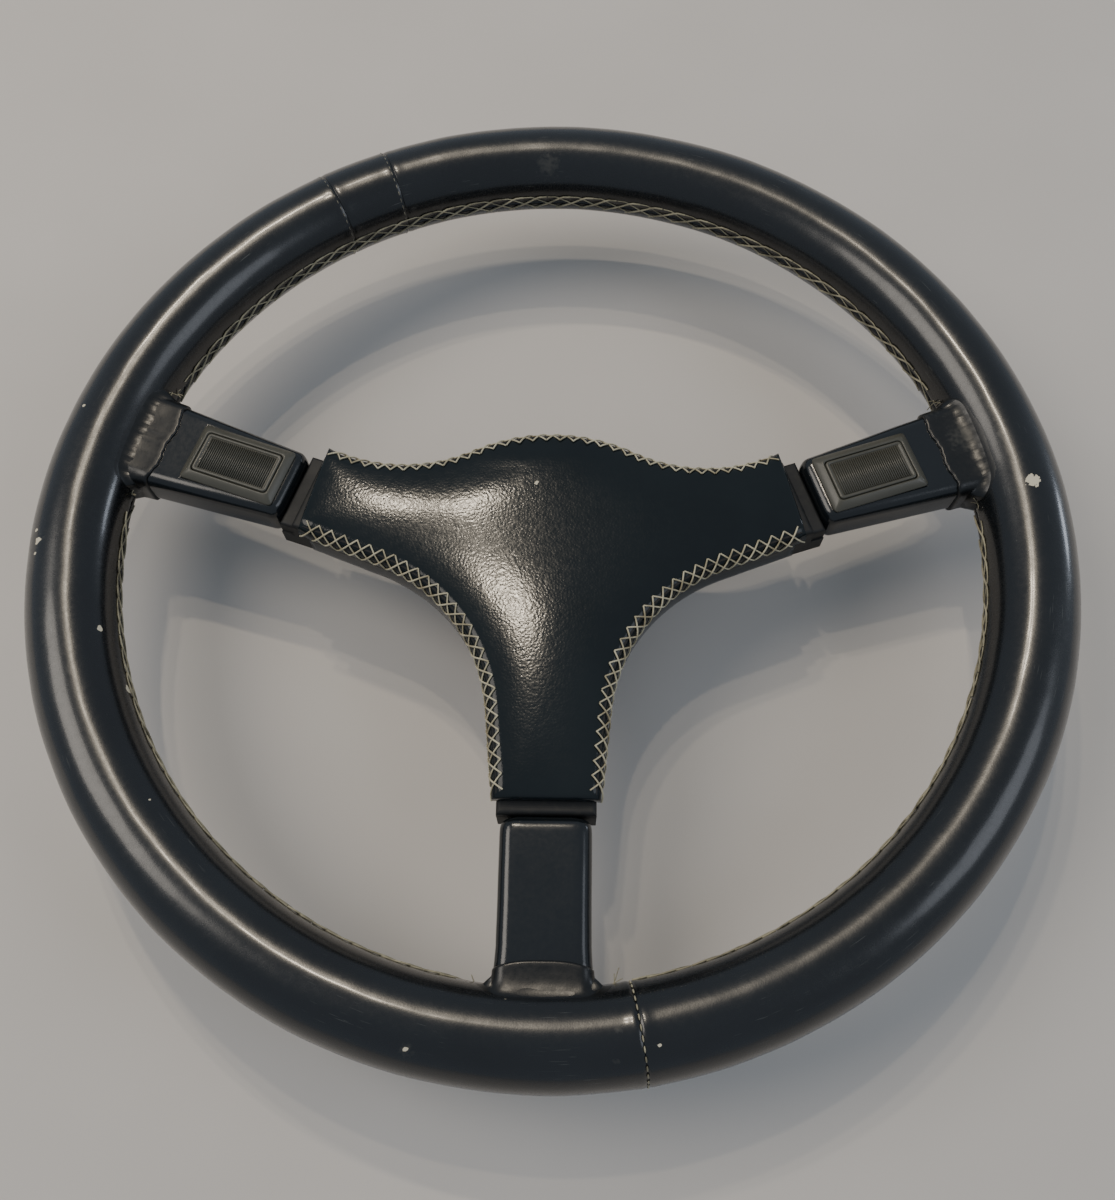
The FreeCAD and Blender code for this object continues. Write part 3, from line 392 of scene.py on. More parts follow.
def metal(name, tint, rough, rings=0.0, grit=0.0):
    """Bare or plated metal; rings in millimetres are a lathe's feed marks about the hub's axis."""
    material, tree = new_material(name)
    here = add_node(tree, "ShaderNodeTexCoord").outputs["Object"]
    cloud = add_node(tree, "ShaderNodeTexNoise", {"Vector": here, "Scale": 1 / (7 * MM), "Detail": 5.0})
    sheen = add_node(tree, "ShaderNodeMapRange", {
        0: cloud, 1: 0.3, 2: 0.7, 3: rough * 0.8, 4: rough * 1.25})
    darker = tuple(c * 0.8 for c in srgb(tint)[:3]) + (1.0,)
    shade = add_node(tree, "ShaderNodeMix", {0: cloud, 6: srgb(tint), 7: darker}, data_type="RGBA")
    inputs = {"Base Color": shade.outputs[2], "Metallic": 1.0, "Roughness": sheen}
    if rings:
        apart = add_node(tree, "ShaderNodeSeparateXYZ", {0: here})
        flat = add_node(tree, "ShaderNodeCombineXYZ", {0: apart, 1: apart.outputs[1]})
        radius = add_node(tree, "ShaderNodeVectorMath", {0: flat}, operation="LENGTH")
        both = add_node(tree, "ShaderNodeMath", {0: radius.outputs["Value"], 1: apart.outputs[2]},
                        operation="ADD")
        turns = add_node(tree, "ShaderNodeMath", {0: both, 1: 6.2832 / (rings * MM)}, operation="MULTIPLY")
        marks = add_node(tree, "ShaderNodeMath", {0: turns}, operation="SINE")
        inputs["Normal"] = add_node(tree, "ShaderNodeBump", {
            "Height": marks, "Strength": 0.35, "Distance": 0.015 * MM})
    elif grit:
        grains = add_node(tree, "ShaderNodeTexNoise", {
            "Vector": here, "Scale": 1 / (grit * MM), "Detail": 3.0})
        inputs["Normal"] = add_node(tree, "ShaderNodeBump", {
            "Height": grains, "Strength": 0.3, "Distance": 0.02 * MM})
    close_material(tree, add_node(tree, "ShaderNodeBsdfPrincipled", inputs))
    return material


push_plastic = moulded("ABS_moulded_grey_brown_satin", "#45443b", "#514f46", 0.33)
# The pad's frame is rougher, so it stays darker than the hide, with its high spots rubbed grey.
frame_plastic = moulded("ABS_moulded_black_grained", "#090a0a", "#0e0f10", 0.62, grit=0.5,
                        worn="#1d1c18")
# Stoved enamel is hard and fairly glossy, PVC is a waxy soft plastic, and foam hardly shines.
steel_paint = moulded("stoved_enamel_black_on_steel", "#101112", "#17181a", 0.32, grit=0.9, depth=0.03)
wire_skin = moulded("PVC_insulation_red", "#6d1512", "#7d1c17", 0.38)
foam_skin = moulded("polyurethane_foam_moulded_black", "#1c1c1c", "#262626", 0.85, grit=0.5, depth=0.12)
# The hub keeps its bright metal, the collar is dyed black, and the balls are close to mirrors.
hub_metal = metal("aluminium_turned_clear_anodised", "#cfd0d2", 0.28, rings=0.35)
collar_metal = metal("aluminium_turned_black_anodised", "#2a2b2e", 0.36, rings=0.4)
zinc = metal("steel_bright_zinc_plated", "#c5c3b6", 0.30, grit=0.6)
spring_wire = metal("spring_wire_drawn_oiled", "#8b8c8e", 0.30, grit=0.4)
bright_steel = metal("steel_drawn_bright", "#a9aaac", 0.34, grit=0.5)
ball_metal = metal("bearing_steel_ground_polished", "#d6d7d9", 0.08)
brass = metal("brass_stamped", "#c3a055", 0.26, grit=0.5)
SIDES = ("left", "right")
CAD_FINISHES = {
    "foam": (foam_skin, ["rim_foam", "pad_foam"]),
    "paint": (steel_paint, ["spoke_plate"]),
    "plastic": (frame_plastic, ["hub_tray", "pad_frame", "horn_contact_bush", "horn_base_left",
                                "horn_base_right"]),
    "bright": (bright_steel, ["rim_core"]),
    "hub": (hub_metal, ["release_hub", "clamp_ring"]),
    "collar": (collar_metal, ["release_collar"]),
    "zinc": (zinc, ["collar_stop_washer", "hub_screws"]),
    "spring": (spring_wire, ["pad_clips", "collar_snap_ring"]),
    "balls": (ball_metal, [f"lock_ball_{i}" for i in range(1, 7)]),
    "brass": (brass, ["horn_contact_pin"] + [f"horn_{kind}_contact_{side}" for kind in ("fixed", "moving")
                                             for side in SIDES]),
    "push": (push_plastic, ["horn_bezel_left", "horn_bezel_right"]),
    "wire": (wire_skin, ["horn_wire_left", "horn_wire_right"])}
for finish, members in CAD_FINISHES.values():
    for node in members:
        nodes[node].data.materials.clear()
        nodes[node].data.materials.append(finish)
print("measured nodes with a finish:", sum(len(members) for _, members in CAD_FINISHES.values()))

# %% [markdown]
# Rim leather
#
# Three lengths of hide meet at cross seams: a long one on the right, one on the left and a
# short patch at eleven o'clock. Each is a sleeve round the foam whose two long edges meet on
# the inner side, where the lacing pulls them into a groove. A torus would look machined, so
# the sleeve's radius is a sum of real causes: a slow waviness from hand stretching, the groove,
# and a raised lip where the hide is folded under at each cross seam.

# %% Rim leather
# Clock angles of the cross seams, section angle of the laced groove, and thickness of the hide.
SEAMS = (113.0, 121.5, 280.0)
GROOVE = 188.6
RIM_HIDE_THICK = 1.35


def seam_lip(around):
    """Height of the folded lip near the nearest cross seam, in millimetres."""
    gaps = [abs((around - seam + 180) % 360 - 180) for seam in SEAMS]
    s = math.radians(min(gaps)) * RIM
    strength = 0.6 if min(gaps) == gaps[2] else 0.3
    return strength * (0.28 * math.exp(-((s - 1.9) / 1.5) ** 2) - 0.45 * math.exp(-(s / 0.6) ** 2))


def tube_radius(around, section):
    """Radius of the wrapped tube at a clock angle and a section angle, in millimetres."""
    p = on_rim(around, section)
    slow = 0.16 * noise.noise(p * 34) + 0.07 * noise.noise(p * 95)
    d = math.radians((section - GROOVE + 180) % 360 - 180) * TUBE
    groove = -0.9 * math.exp(-(d / 0.9) ** 2) + 0.18 * math.exp(-((abs(d) - 2.4) / 1.1) ** 2)
    return TUBE - 0.05 + slow + groove + seam_lip(around)


def leather_sleeve(name, start, end):
    """One length of hide: an outer skin, an inner skin and the two cut ends."""
    fine = [0, 0.08, 0.16, 0.25, 0.36, 0.5, 0.7, 1.0, 1.4]
    middle = np.linspace(start + 1.8, end - 1.8, max(3, int((end - start) / 0.62)))
    turns = [start + 0.02 + f for f in fine] + list(middle) + [end - 0.02 - f for f in reversed(fine)]
    sections = sorted(set(np.round(np.r_[np.linspace(0, 360, 73)[:-1], np.arange(178, 199.5, 1.1)], 3)))
    outer, inner, path = [], [], []
    for turn in turns:
        for section in sections:
            radius = tube_radius(turn, section)
            outer.append(on_rim(turn, section, radius - TUBE))
            inner.append(on_rim(turn, section, -RIM_HIDE_THICK))
            path.append((math.radians(turn) * RIM, math.radians(section) * TUBE, 0.0))
    rows, columns = len(turns), len(sections)
    count = rows * columns
    faces = ring_faces(rows, columns)
    faces += [tuple(reversed([v + count for v in face])) for face in ring_faces(rows, columns)]
    for row in (0, rows - 1):
        for j in range(columns):
            a, b = row * columns + j, row * columns + (j + 1) % columns
            faces.append((a, b, b + count, a + count))
    piece = mesh_object(name, outer + inner, faces, rim_hide)
    attribute = piece.data.attributes.new("hide_path", "FLOAT_VECTOR", "POINT")
    attribute.data.foreach_set("vector", np.array(path + path, np.float32).ravel())
    return piece


for side, start, end in (("right", SEAMS[2] - 360, SEAMS[0]), ("patch", SEAMS[0], SEAMS[1]),
                         ("left", SEAMS[1], SEAMS[2])):
    piece = leather_sleeve(f"rim_hide_{side}", start, end)
    settle(piece, "root", "rim_leather", f"rim_leather_{side}")
    print(piece.name, len(piece.data.polygons), "faces")

# %% [markdown]
# Spoke sleeves
#
# Each arm wears a moulded sleeve with hide glued over it: a box section with soft corners that
# widens towards the rim. It is lofted from rounded rectangles. The hub end is closed by
# stations that shrink along a quarter circle, which gives the one rounded edge that a single
# Bevel would also give, but keeps all the quads in line with the section.

# %% Sleeves
def rounded_box(width, low, high, radius, steps=7, flats=10):
    """Loop of (across, height) points round a rounded rectangle, in millimetres."""
    loop = []
    for cx, cz, begin in ((1, 1, 0), (-1, 1, 90), (-1, -1, 180), (1, -1, 270)):
        x0 = cx * (width / 2 - radius)
        z0 = (high - radius) if cz > 0 else (low + radius)
        for k in range(steps + 1):
            a = math.radians(begin + 90 * k / steps)
            loop.append((x0 + radius * math.cos(a), z0 + radius * math.sin(a)))
        if begin in (0, 180):
            a1 = (width / 2 - radius) * (1 if begin == 0 else -1)
            for k in range(1, flats):
                loop.append((a1 - 2 * a1 * k / flats, high if begin == 0 else low))
    return loop


def dense(stops, step):
    """Linear stations between (along, width, low, high) stops, no further apart than step."""
    out = []
    for a, b in zip(stops, stops[1:]):
        count = max(1, int((b[0] - a[0]) / step))
        out += [tuple(a[i] + (b[i] - a[i]) * k / count for i in range(4)) for k in range(count)]
    return out + [stops[-1]]


# Each sleeve's start along its arm, its width there, and its width at the rim.
SLEEVES = {"right": (96.0, 28.5, 34.6), "left": (96.0, 28.5, 34.6), "bottom": (104.0, 30.4, 30.6)}
SLEEVE_LOW, SLEEVE_HIGH, END_ROUND, EDGE_ROUND, END_STEPS = 42, 58, 4.0, 4.4, 6


def sleeve(spoke):
    """One arm's sleeve, from its rounded hub end to the root where it widens into the rim."""
    start, width, flare = SLEEVES[spoke]
    rings = []
    for k in range(END_STEPS + 1):
        a = math.radians(90 * k / END_STEPS)
        inset = END_ROUND * (1 - math.sin(a))
        rings.append((start + END_ROUND * (1 - math.cos(a)), width - 2 * inset,
                      SLEEVE_LOW + inset, SLEEVE_HIGH - inset))
    spread = 0.6 if spoke == "bottom" else 1.6
    widths = [(start + END_ROUND + 1.5, width + 0.2), (146, flare), (151, flare + spread),
              (156, flare + 2.2 * spread)]
    rings += dense([(x, wide, SLEEVE_LOW, SLEEVE_HIGH) for x, wide in widths], 3.0)
    points = []
    place = spoke_matrix(spoke)
    for x, wide, low, high in rings:
        for y, z in rounded_box(wide, low, high, min(EDGE_ROUND, (high - low) / 2 - 0.1)):
            p = place @ (Vector((x, y, z)) * MM)
            wave = 0.12 * noise.noise(p * 60) + 0.05 * noise.noise(p * 170)
            points.append(place @ (Vector((x, y * (1 + wave / 20), z + wave)) * MM))
    rings = np.array(points).reshape(len(rings), -1, 3)
    return capped_skin(f"sleeve_hide_{spoke}", rings, sleeve_hide)


def cut_away(piece, name, corners, spoke):
    """Take a block out of a piece; corners are its two opposite corners in the spoke's frame."""
    work = bmesh.new()
    bmesh.ops.create_cube(work, size=1.0)
    low, high = (Vector(c) * MM for c in corners)
    for v in work.verts:
        v.co = Vector([(low[i] + high[i]) / 2 + v.co[i] * (high[i] - low[i]) for i in range(3)])
    bmesh.ops.transform(work, matrix=spoke_matrix(spoke), verts=work.verts)
    mesh = bpy.data.meshes.new(name)
    work.to_mesh(mesh)
    work.free()
    cutter = link(name, mesh)
    boolean = piece.modifiers.new("cut", "BOOLEAN")
    boolean.object, boolean.operation, boolean.solver = cutter, "DIFFERENCE", "EXACT"
    result = plain_mesh(piece)
    piece.modifiers.remove(boolean)
    piece.data = result
    bpy.data.objects.remove(cutter)


for spoke in SPOKES:
    piece = sleeve(spoke)
    cut_away(piece, "arm_slot", ((80, -11.1, 43.9), (200, 11.1, 48.1)), spoke)
    if spoke != "bottom":
        cut_away(piece, "push_pocket", ((100.5, -10.6, 48.0), (135.5, 10.6, 90)), spoke)
    settle(piece, "root", "sleeve", f"spoke_sleeve_{spoke}")
    print(piece.name, len(piece.data.polygons), "faces")

# %% [markdown]
# Leather tongues over the spoke roots
#
# Where an arm enters the rim, the rim's hide is pulled out along the sleeve in a tongue, glued
# down, and left as a cut edge that stands a leather's thickness proud. At the side arms the
# hide has puckered. Each tongue is a loft from the sleeve's section, over a soft fillet, to
# a wider loop that lies on the tube; for each point of the loop a quadratic Bezier does the
# fillet, with its middle point where the sleeve's line would meet the tube.


# %% Tongues
TONGUE_THICK = 0.8


def tube_hit(spoke, across, height):
    """How far out along a spoke a line meets the rim's tube, in millimetres."""
    origin, turn = SPOKES[spoke]
    out = Vector((math.cos(turn), math.sin(turn), 0))
    side = Vector((-math.sin(turn), math.cos(turn), 0))
    start = origin / MM + side * across
    rise = max(-TUBE + 0.01, min(TUBE - 0.01, height - LEVEL))
    reach = RIM - math.sqrt(TUBE ** 2 - min(rise * rise, TUBE ** 2 - 0.01))
    b, c = start.dot(out), start.dot(start) - reach * reach
    return -b + math.sqrt(b * b - c)


def tube_normal(spoke, p):
    """The tube's outward direction at a point near it, in the spoke's own frame."""
    origin, turn = SPOKES[spoke]
    world = spoke_matrix(spoke) @ (Vector(p) * MM)
    clock = math.atan2(world.y, world.x)
    centre = Vector((RIM * math.cos(clock), RIM * math.sin(clock), LEVEL)) * MM
    return Matrix.Rotation(-turn, 3, "Z") @ (world - centre).normalized()


def tongue(spoke):
    """A tongue of rim hide over a spoke root, in the wheel's frame."""
    flare = SLEEVES[spoke][2]
    side = spoke != "bottom"
    edge = 146.3 if side else 150.4
    wide = flare + 0.2
    loop = rounded_box(wide, SLEEVE_LOW, SLEEVE_HIGH, 3.6, steps=9, flats=28)
    count, steps = len(loop), 18
    place = spoke_matrix(spoke)
    rows = []
    for j, (y, z) in enumerate(loop):
        before, after = loop[j - 1], loop[(j + 1) % count]
        ny, nz = Vector((after[1] - before[1], before[0] - after[0])).normalized()
        if ny * y + nz * (z - LEVEL) < 0:
            ny, nz = -ny, -nz
        if side:
            x = edge + 0.5 * math.sin(y * 0.42 + 1.0) + (0.9 * (y / 17) ** 2 if spoke == "left" else 0.0)
            x += 0.18 * math.sin(y * 1.7)
        else:
            x = edge + 2.4 * (abs(y) / (wide / 2)) ** 3
        gather = 0.0
        if side:
            gather = math.sin(y * 1.15 + 1.4 * math.sin(y * 0.41)) * (0.55 + 0.45 * math.sin(y * 0.29 + 2))
            gather += 0.5 * math.sin(z * 1.6)
        spread = (3.4 + 0.5 * math.sin(y * 0.6)) if side else 5.4
        far_y, far_z = y + spread * ny, z + (2.0 if side else 2.6) * nz
        finish = Vector((tube_hit(spoke, far_y, far_z) + 0.05, far_y, far_z))
        out = tube_normal(spoke, finish)
        proud_y, proud_z = y + TONGUE_THICK * ny, z + TONGUE_THICK * nz
        reach = finish.x - (out.y * (proud_y - finish.y) + out.z * (proud_z - finish.z)) / min(-0.2, out.x)
        start = Vector((x + TONGUE_THICK, proud_y, proud_z))
        control = Vector((max(start.x + 0.5, reach), proud_y, proud_z))
        column = [(x - 0.1, y - 1.6 * ny, z - 1.6 * nz), (x - 0.1, y - 0.2 * ny, z - 0.2 * nz),
                  (x - 0.05, y + 0.45 * ny, z + 0.45 * nz), (x + 0.25, y + 0.72 * ny, z + 0.72 * nz)]
        for k in range(steps + 1):
            t = k / steps
            p = start * (1 - t) ** 2 + control * (2 * t * (1 - t)) + finish * t * t
            lift = 0.13 * gather * math.sin(math.pi * t) ** 0.7
            grain = 0.10 * noise.noise(place @ (p * MM) * 210) * math.sin(math.pi * t)
            column.append(tuple(p + Vector((-0.5 * lift, ny, nz)) * (lift + grain)))
        for more, depth in ((1.0, 0.08), (2.0, 0.2), (3.0, 0.4), (3.6, 2.5), (2.0, 4.0)):
            tail_y, tail_z = far_y + more * ny, far_z + 0.8 * more * nz
            column.append((tube_hit(spoke, tail_y, tail_z) + depth, tail_y, tail_z))
        rows.append(column)
    grid = np.array(rows).transpose(1, 0, 2)
    points = [place @ (Vector(p) * MM) for p in grid.reshape(-1, 3)]
    faces = ring_faces(grid.shape[0], count, closed_rows=True)
    return mesh_object(f"rim_tongue_{spoke}", points, faces, root_hide)


for spoke in SPOKES:
    piece = settle(tongue(spoke), "root", "rim_leather")
    print(piece.name, len(piece.data.polygons), "faces")

# %% [markdown]
# Stitching with Geometry Nodes
#
# The lacing repeats the same two strands some hundreds of times along a rail, so the rule is
# a node tree. A rail curve runs along the edge that is sewn. For strand number i, a handful of
# points go from one side of the seam to the other while they move along the rail, and their
# height comes from an arc round the edge. One set of strands leans forwards and one backwards,
# which makes the crossed lattice. The same tree laces the rim, with a longer pitch and a flat
# run along the upper side.


# %% Tree helpers
def new_tree(name, inputs):
    """A Geometry Nodes tree with named inputs; returns the tree and its input node."""
    tree = bpy.data.node_groups.new(name, "GeometryNodeTree")
    tree.interface.new_socket("Geometry", in_out="INPUT", socket_type="NodeSocketGeometry")
    for label, kind, value in inputs:
        socket = tree.interface.new_socket(label, in_out="INPUT", socket_type=kind)
        if value is not None:
            socket.default_value = value
    tree.interface.new_socket("Geometry", in_out="OUTPUT", socket_type="NodeSocketGeometry")
    return tree, add_node(tree, "NodeGroupInput")


def add_rows(tree, known, rows):
    """Add a node for each row of result, kind, operation and inputs in their order.

    An input is a known result's name or a value, or None to leave it as it is."""
    for result, kind, operation, *terms in rows:
        inputs = {i: known.get(term, term) for i, term in enumerate(terms) if term is not None}
        settings = {"operation": operation} if operation else {}
        known[result] = add_node(tree, kind, inputs, **settings)


def close_tree(tree, last, material):
    """End a tree: real geometry, smooth faces and a material."""
    real = add_node(tree, "GeometryNodeRealizeInstances", {0: last})
    smooth = add_node(tree, "GeometryNodeSetShadeSmooth", {0: real})
    painted = add_node(tree, "GeometryNodeSetMaterial", {"Geometry": smooth, "Material": material})
    add_node(tree, "NodeGroupOutput", {0: painted})


def grow(name, tree, values, source=None):
    """Run a tree on a source object, or on an empty one, and keep the result as a plain mesh."""
    source = source or link("seed", bpy.data.meshes.new("seed"))
    names = {item.name: item.identifier for item in tree.interface.items_tree if item.in_out == "INPUT"}
    modifier = source.modifiers.new("grow", "NODES")
    modifier.node_group = tree
    for label, value in values.items():
        modifier[names[label]] = value
    mesh = plain_mesh(source)
    mesh.name = name
    source.modifiers.remove(modifier)
    bpy.data.objects.remove(source)
    return link(name, mesh)


def rail(name, points, cyclic=False):
    """A poly curve object through points, as the rail that a tree follows."""
    curve = bpy.data.curves.new(name, "CURVE")
    curve.dimensions = "3D"
    spline = curve.splines.new("POLY")
    spline.points.add(len(points) - 1)
    for knot, p in zip(spline.points, points):
        knot.co = (*p, 1.0)
    spline.use_cyclic_u = cyclic
    return link(name, curve)


# %% Lacing tree
FLOAT, WHOLE = "NodeSocketFloat", "NodeSocketInt"
MATH, VECTOR = "ShaderNodeMath", "ShaderNodeVectorMath"
lacing, given = new_tree("crossed_lacing", [
    ("Pitch", FLOAT, 4.7 * MM), ("Span", FLOAT, 1.5), ("Arc Radius", FLOAT, 5.2 * MM),
    ("Start Angle", FLOAT, -0.2), ("End Angle", FLOAT, 1.33), ("Flat Run", FLOAT, 0.1),
    ("Thread Radius", FLOAT, 0.42 * MM), ("Under Radius", FLOAT, 0.36 * MM), ("Points", WHOLE, 9),
    ("Material", "NodeSocketMaterial", None)])
known = {socket.name: socket for socket in given.outputs}
known["length"] = add_node(lacing, "GeometryNodeCurveLength", {0: known["Geometry"]})
known["index"] = add_node(lacing, "GeometryNodeInputIndex")

# How many strands fit on the rail, and the pitch that spreads them evenly along it.
add_rows(lacing, known, [
    ("fitted", MATH, "DIVIDE", "length", "Pitch"),
    ("over", MATH, "FRACT", "Span"),
    ("reach", MATH, "ADD", "Span", "over"),
    ("spare", MATH, "SUBTRACT", "fitted", "reach"),
    ("strands", MATH, "FLOOR", "spare"),
    ("filled", MATH, "ADD", "strands", "reach"),
    ("less_one", MATH, "SUBTRACT", "filled", 1.0),
    ("true_pitch", MATH, "DIVIDE", "length", "less_one"),
    ("total", MATH, "MULTIPLY", "strands", "Points")])

# Which strand a point is on, how far along the strand it is, and its angle round the edge.
add_rows(lacing, known, [
    ("shared", MATH, "DIVIDE", "index", "Points"),
    ("number", MATH, "FLOOR", "shared"),
    ("part", MATH, "SUBTRACT", "shared", "number"),
    ("steps", MATH, "SUBTRACT", "Points", 1.0),
    ("stretch", MATH, "DIVIDE", "Points", "steps"),
    ("share", MATH, "MULTIPLY", "part", "stretch"),
    ("bow", MATH, "MULTIPLY", "share", math.pi),
    ("hump", MATH, "SINE", "bow"),
    ("climb_share", MATH, "SUBTRACT", 1.0, "Flat Run"),
    ("climb", MATH, "DIVIDE", "share", "climb_share"),
    ("height", MATH, "MINIMUM", "climb", 1.0),
    ("angle", "ShaderNodeMapRange", None, "height", 0.0, 1.0, "Start Angle", "End Angle"),
    ("cosine", MATH, "COSINE", "angle"),
    ("sine", MATH, "SINE", "angle")])
print("lacing tree, shared part:", len(lacing.nodes), "nodes")

# %% The two crossed layers
FORWARDS = [("lean", MATH, "MULTIPLY", "share", "Span")]
BACKWARDS = [("back_share", MATH, "SUBTRACT", 1.0, "share"),
             ("lean", MATH, "MULTIPLY_ADD", "back_share", "Span", "over")]
LAYERS = [("Thread Radius", 0.9, FORWARDS), ("Under Radius", -0.2, BACKWARDS)]
joined = add_node(lacing, "GeometryNodeJoinGeometry")
for seed, (thick, lift, leaning) in enumerate(LAYERS):
    jitter = add_node(lacing, "FunctionNodeRandomValue", {
        2: -0.05, 3: 0.05, "ID": known["number"], "Seed": seed}, data_type="FLOAT")
    known["jitter"] = jitter.outputs[1]
    add_rows(lacing, known, leaning + [
        ("moved", MATH, "ADD", "number", "lean"),
        ("nudged", MATH, "ADD", "moved", "jitter"),
        ("along", MATH, "MULTIPLY", "nudged", "true_pitch")])
    sample = add_node(lacing, "GeometryNodeSampleCurve", {
        "Curves": known["Geometry"], "Length": known["along"]}, mode="LENGTH", use_all_curves=True)
    known["foot"], known["tangent"] = sample.outputs["Position"], sample.outputs["Tangent"]
    add_rows(lacing, known, [
        ("outward", VECTOR, "CROSS_PRODUCT", "tangent", (0, 0, 1)),
        ("unit", VECTOR, "NORMALIZE", "outward"),
        ("raised", MATH, "MULTIPLY", thick, lift),
        ("arched", MATH, "MULTIPLY_ADD", "raised", "hump", "Arc Radius"),
        ("across", MATH, "MULTIPLY", "arched", "cosine"),
        ("upward", MATH, "MULTIPLY", "arched", "sine"),
        ("sideways", VECTOR, "SCALE", "unit", None, None, "across"),
        ("upright", "ShaderNodeCombineXYZ", None, None, None, "upward"),
        ("offset", VECTOR, "ADD", "sideways", "upright"),
        ("place", VECTOR, "ADD", "foot", "offset")])
    cloud = add_node(lacing, "GeometryNodePoints", {"Count": known["total"]})
    laid = add_node(lacing, "GeometryNodeSetPosition", {"Geometry": cloud, "Position": known["place"]})
    lines = add_node(lacing, "GeometryNodePointsToCurves", {
        0: laid, "Curve Group ID": known["number"], "Weight": known["share"]})
    section = add_node(lacing, "GeometryNodeCurvePrimitiveCircle", {
        "Resolution": 6, "Radius": known[thick]})
    swept = add_node(lacing, "GeometryNodeCurveToMesh", {0: lines, 1: section, "Fill Caps": True})
    lacing.links.new(swept.outputs[0], joined.inputs[0])
close_tree(lacing, joined, known["Material"])
print("lacing tree:", len(lacing.nodes), "nodes")

# %% [markdown]
# Pad outline
#
# The pad is a Y with a crest between two dips at the top and a wide sweep on each side of the
# lower arm. The outline is written once as arcs and lines, walked counter-clockwise, with each
# stretch marked as laced or as a plain arm end. Insets use a mitre, so a laced edge and a plain
# end can be drawn in by different amounts and still meet at the corner.


# %% Outline
OUTLINE_STEP = 1.6


def arc_points(cx, cy, radius, begin, end):
    """Points along an arc, from one angle to another in degrees."""
    count = max(2, int(abs(math.radians(end - begin)) * radius / OUTLINE_STEP))
    turns = [math.radians(begin + (end - begin) * k / count) for k in range(count + 1)]
    return [(cx + radius * math.cos(turn), cy + radius * math.sin(turn)) for turn in turns]


def line_points(a, b):
    """Points along a straight line."""
    count = max(1, int(math.dist(a, b) / OUTLINE_STEP))
    return [(a[0] + (b[0] - a[0]) * k / count, a[1] + (b[1] - a[1]) * k / count) for k in range(count + 1)]


def touch(p, centre, radius, side):
    """Angle at which the line from a point touches a circle, in degrees."""
    reach = math.dist(p, centre)
    return math.degrees(math.atan2(p[1] - centre[1], p[0] - centre[0]) + side * math.acos(radius / reach))


# Arcs as (x, y, radius): the dip beside the crest, the crest itself, and the sweep at the side.
DIP, CREST, SWEEP = (55.84, 83.89, 58.0), (0.0, -25.7, 65.0), (86.7, -74.7, 66.0)
TOP_CORNER, LOW_CORNER, FOOT = (83.0, 32.65), (91.5, -1.8), (18.0, -99.2)
lean_end = 270 + math.degrees(math.asin((TOP_CORNER[0] - DIP[0]) / DIP[2]))
top_edge = (arc_points(*DIP, lean_end, 243) + arc_points(*CREST, 63, 117)[1:]
            + arc_points(-DIP[0], DIP[1], DIP[2], 297, 540 - lean_end)[1:])
upper = touch(LOW_CORNER, SWEEP[:2], SWEEP[2], 1)
lower = touch(FOOT, SWEEP[:2], SWEEP[2], -1) % 360
right_sweep = arc_points(*SWEEP, lower, upper)
right_edge = (line_points(FOOT, right_sweep[0])[:-1] + right_sweep
              + line_points(right_sweep[-1], LOW_CORNER)[1:])
left_edge = [(-x, y) for x, y in reversed(right_edge)]
mirror = [(-TOP_CORNER[0], TOP_CORNER[1]), (-LOW_CORNER[0], LOW_CORNER[1]), (-FOOT[0], FOOT[1])]
stretches = [("laced", top_edge), ("end", line_points(mirror[0], mirror[1])), ("laced", left_edge),
             ("end", line_points(mirror[2], FOOT)), ("laced", right_edge),
             ("end", line_points(LOW_CORNER, TOP_CORNER))]
# No point may lie nearer a corner than the inset draws it, or the inset folds over itself.
CORNER_ROOM = {"laced": 4.2, "end": 7.2}
outline, laced = [], []
for kind, points in stretches:
    ends = (points[0], points[-1])
    points = [p for p in points if p in ends or min(math.dist(p, end) for end in ends) > CORNER_ROOM[kind]]
    outline += points[:-1]
    laced += [kind == "laced"] * (len(points) - 1)
print("outline points:", len(outline))


def inset(points, distances, closed=True):
    """Move each edge of a polygon inwards by its own distance, mitred at the points."""
    count, moved = len(points), []
    for i, p in enumerate(points):
        edges = []
        for a, b, d in ((i - 1, i, distances[i - 1]), (i, i + 1, distances[i])):
            if not closed and (a < 0 or b >= count):
                continue
            q, r = Vector(points[a]), Vector(points[b % count])
            t = (r - q).normalized()
            edges.append((Vector((-t.y, t.x)), d))
        n1, d1 = edges[0]
        n2, d2 = edges[-1]
        det = n1.x * n2.y - n1.y * n2.x
        if abs(det) < 0.02:
            move = (n1 * d1 + n2 * d2) / 2
        else:
            move = Vector(((d1 * n2.y - d2 * n1.y) / det, (d2 * n1.x - d1 * n2.x) / det))
        moved.append((p[0] + move.x, p[1] + move.y))
    return moved


# %% [markdown]
# Padded centre
#
# A sheet of hide is stretched over foam and laced down at the edge, so it is flat in the middle
# of each arm, swells gently over the hub and rolls over the edge in a shoulder. The rim of the
# sheet is built as rings over the shoulder. Inside it a fill of even triangles takes a cloth
# simulation: the shoulder is pinned, a little air pressure lifts the middle, and the lift is
# capped so that the hide stays as tight as lacing keeps it. Solidify then gives the hide
# its real thickness.

# %% Pad skin
# Radius of the shoulder where it is laced and across an arm's end, and the height of its foot.
SHOULDER, END_SHOULDER, SHOULDER_LEVEL = 5.0, 1.7, 55.9


def edge_radius(i):
    """Shoulder radius of the outline's edge i: full where laced, small across an arm end."""
    return SHOULDER if laced[i] else END_SHOULDER


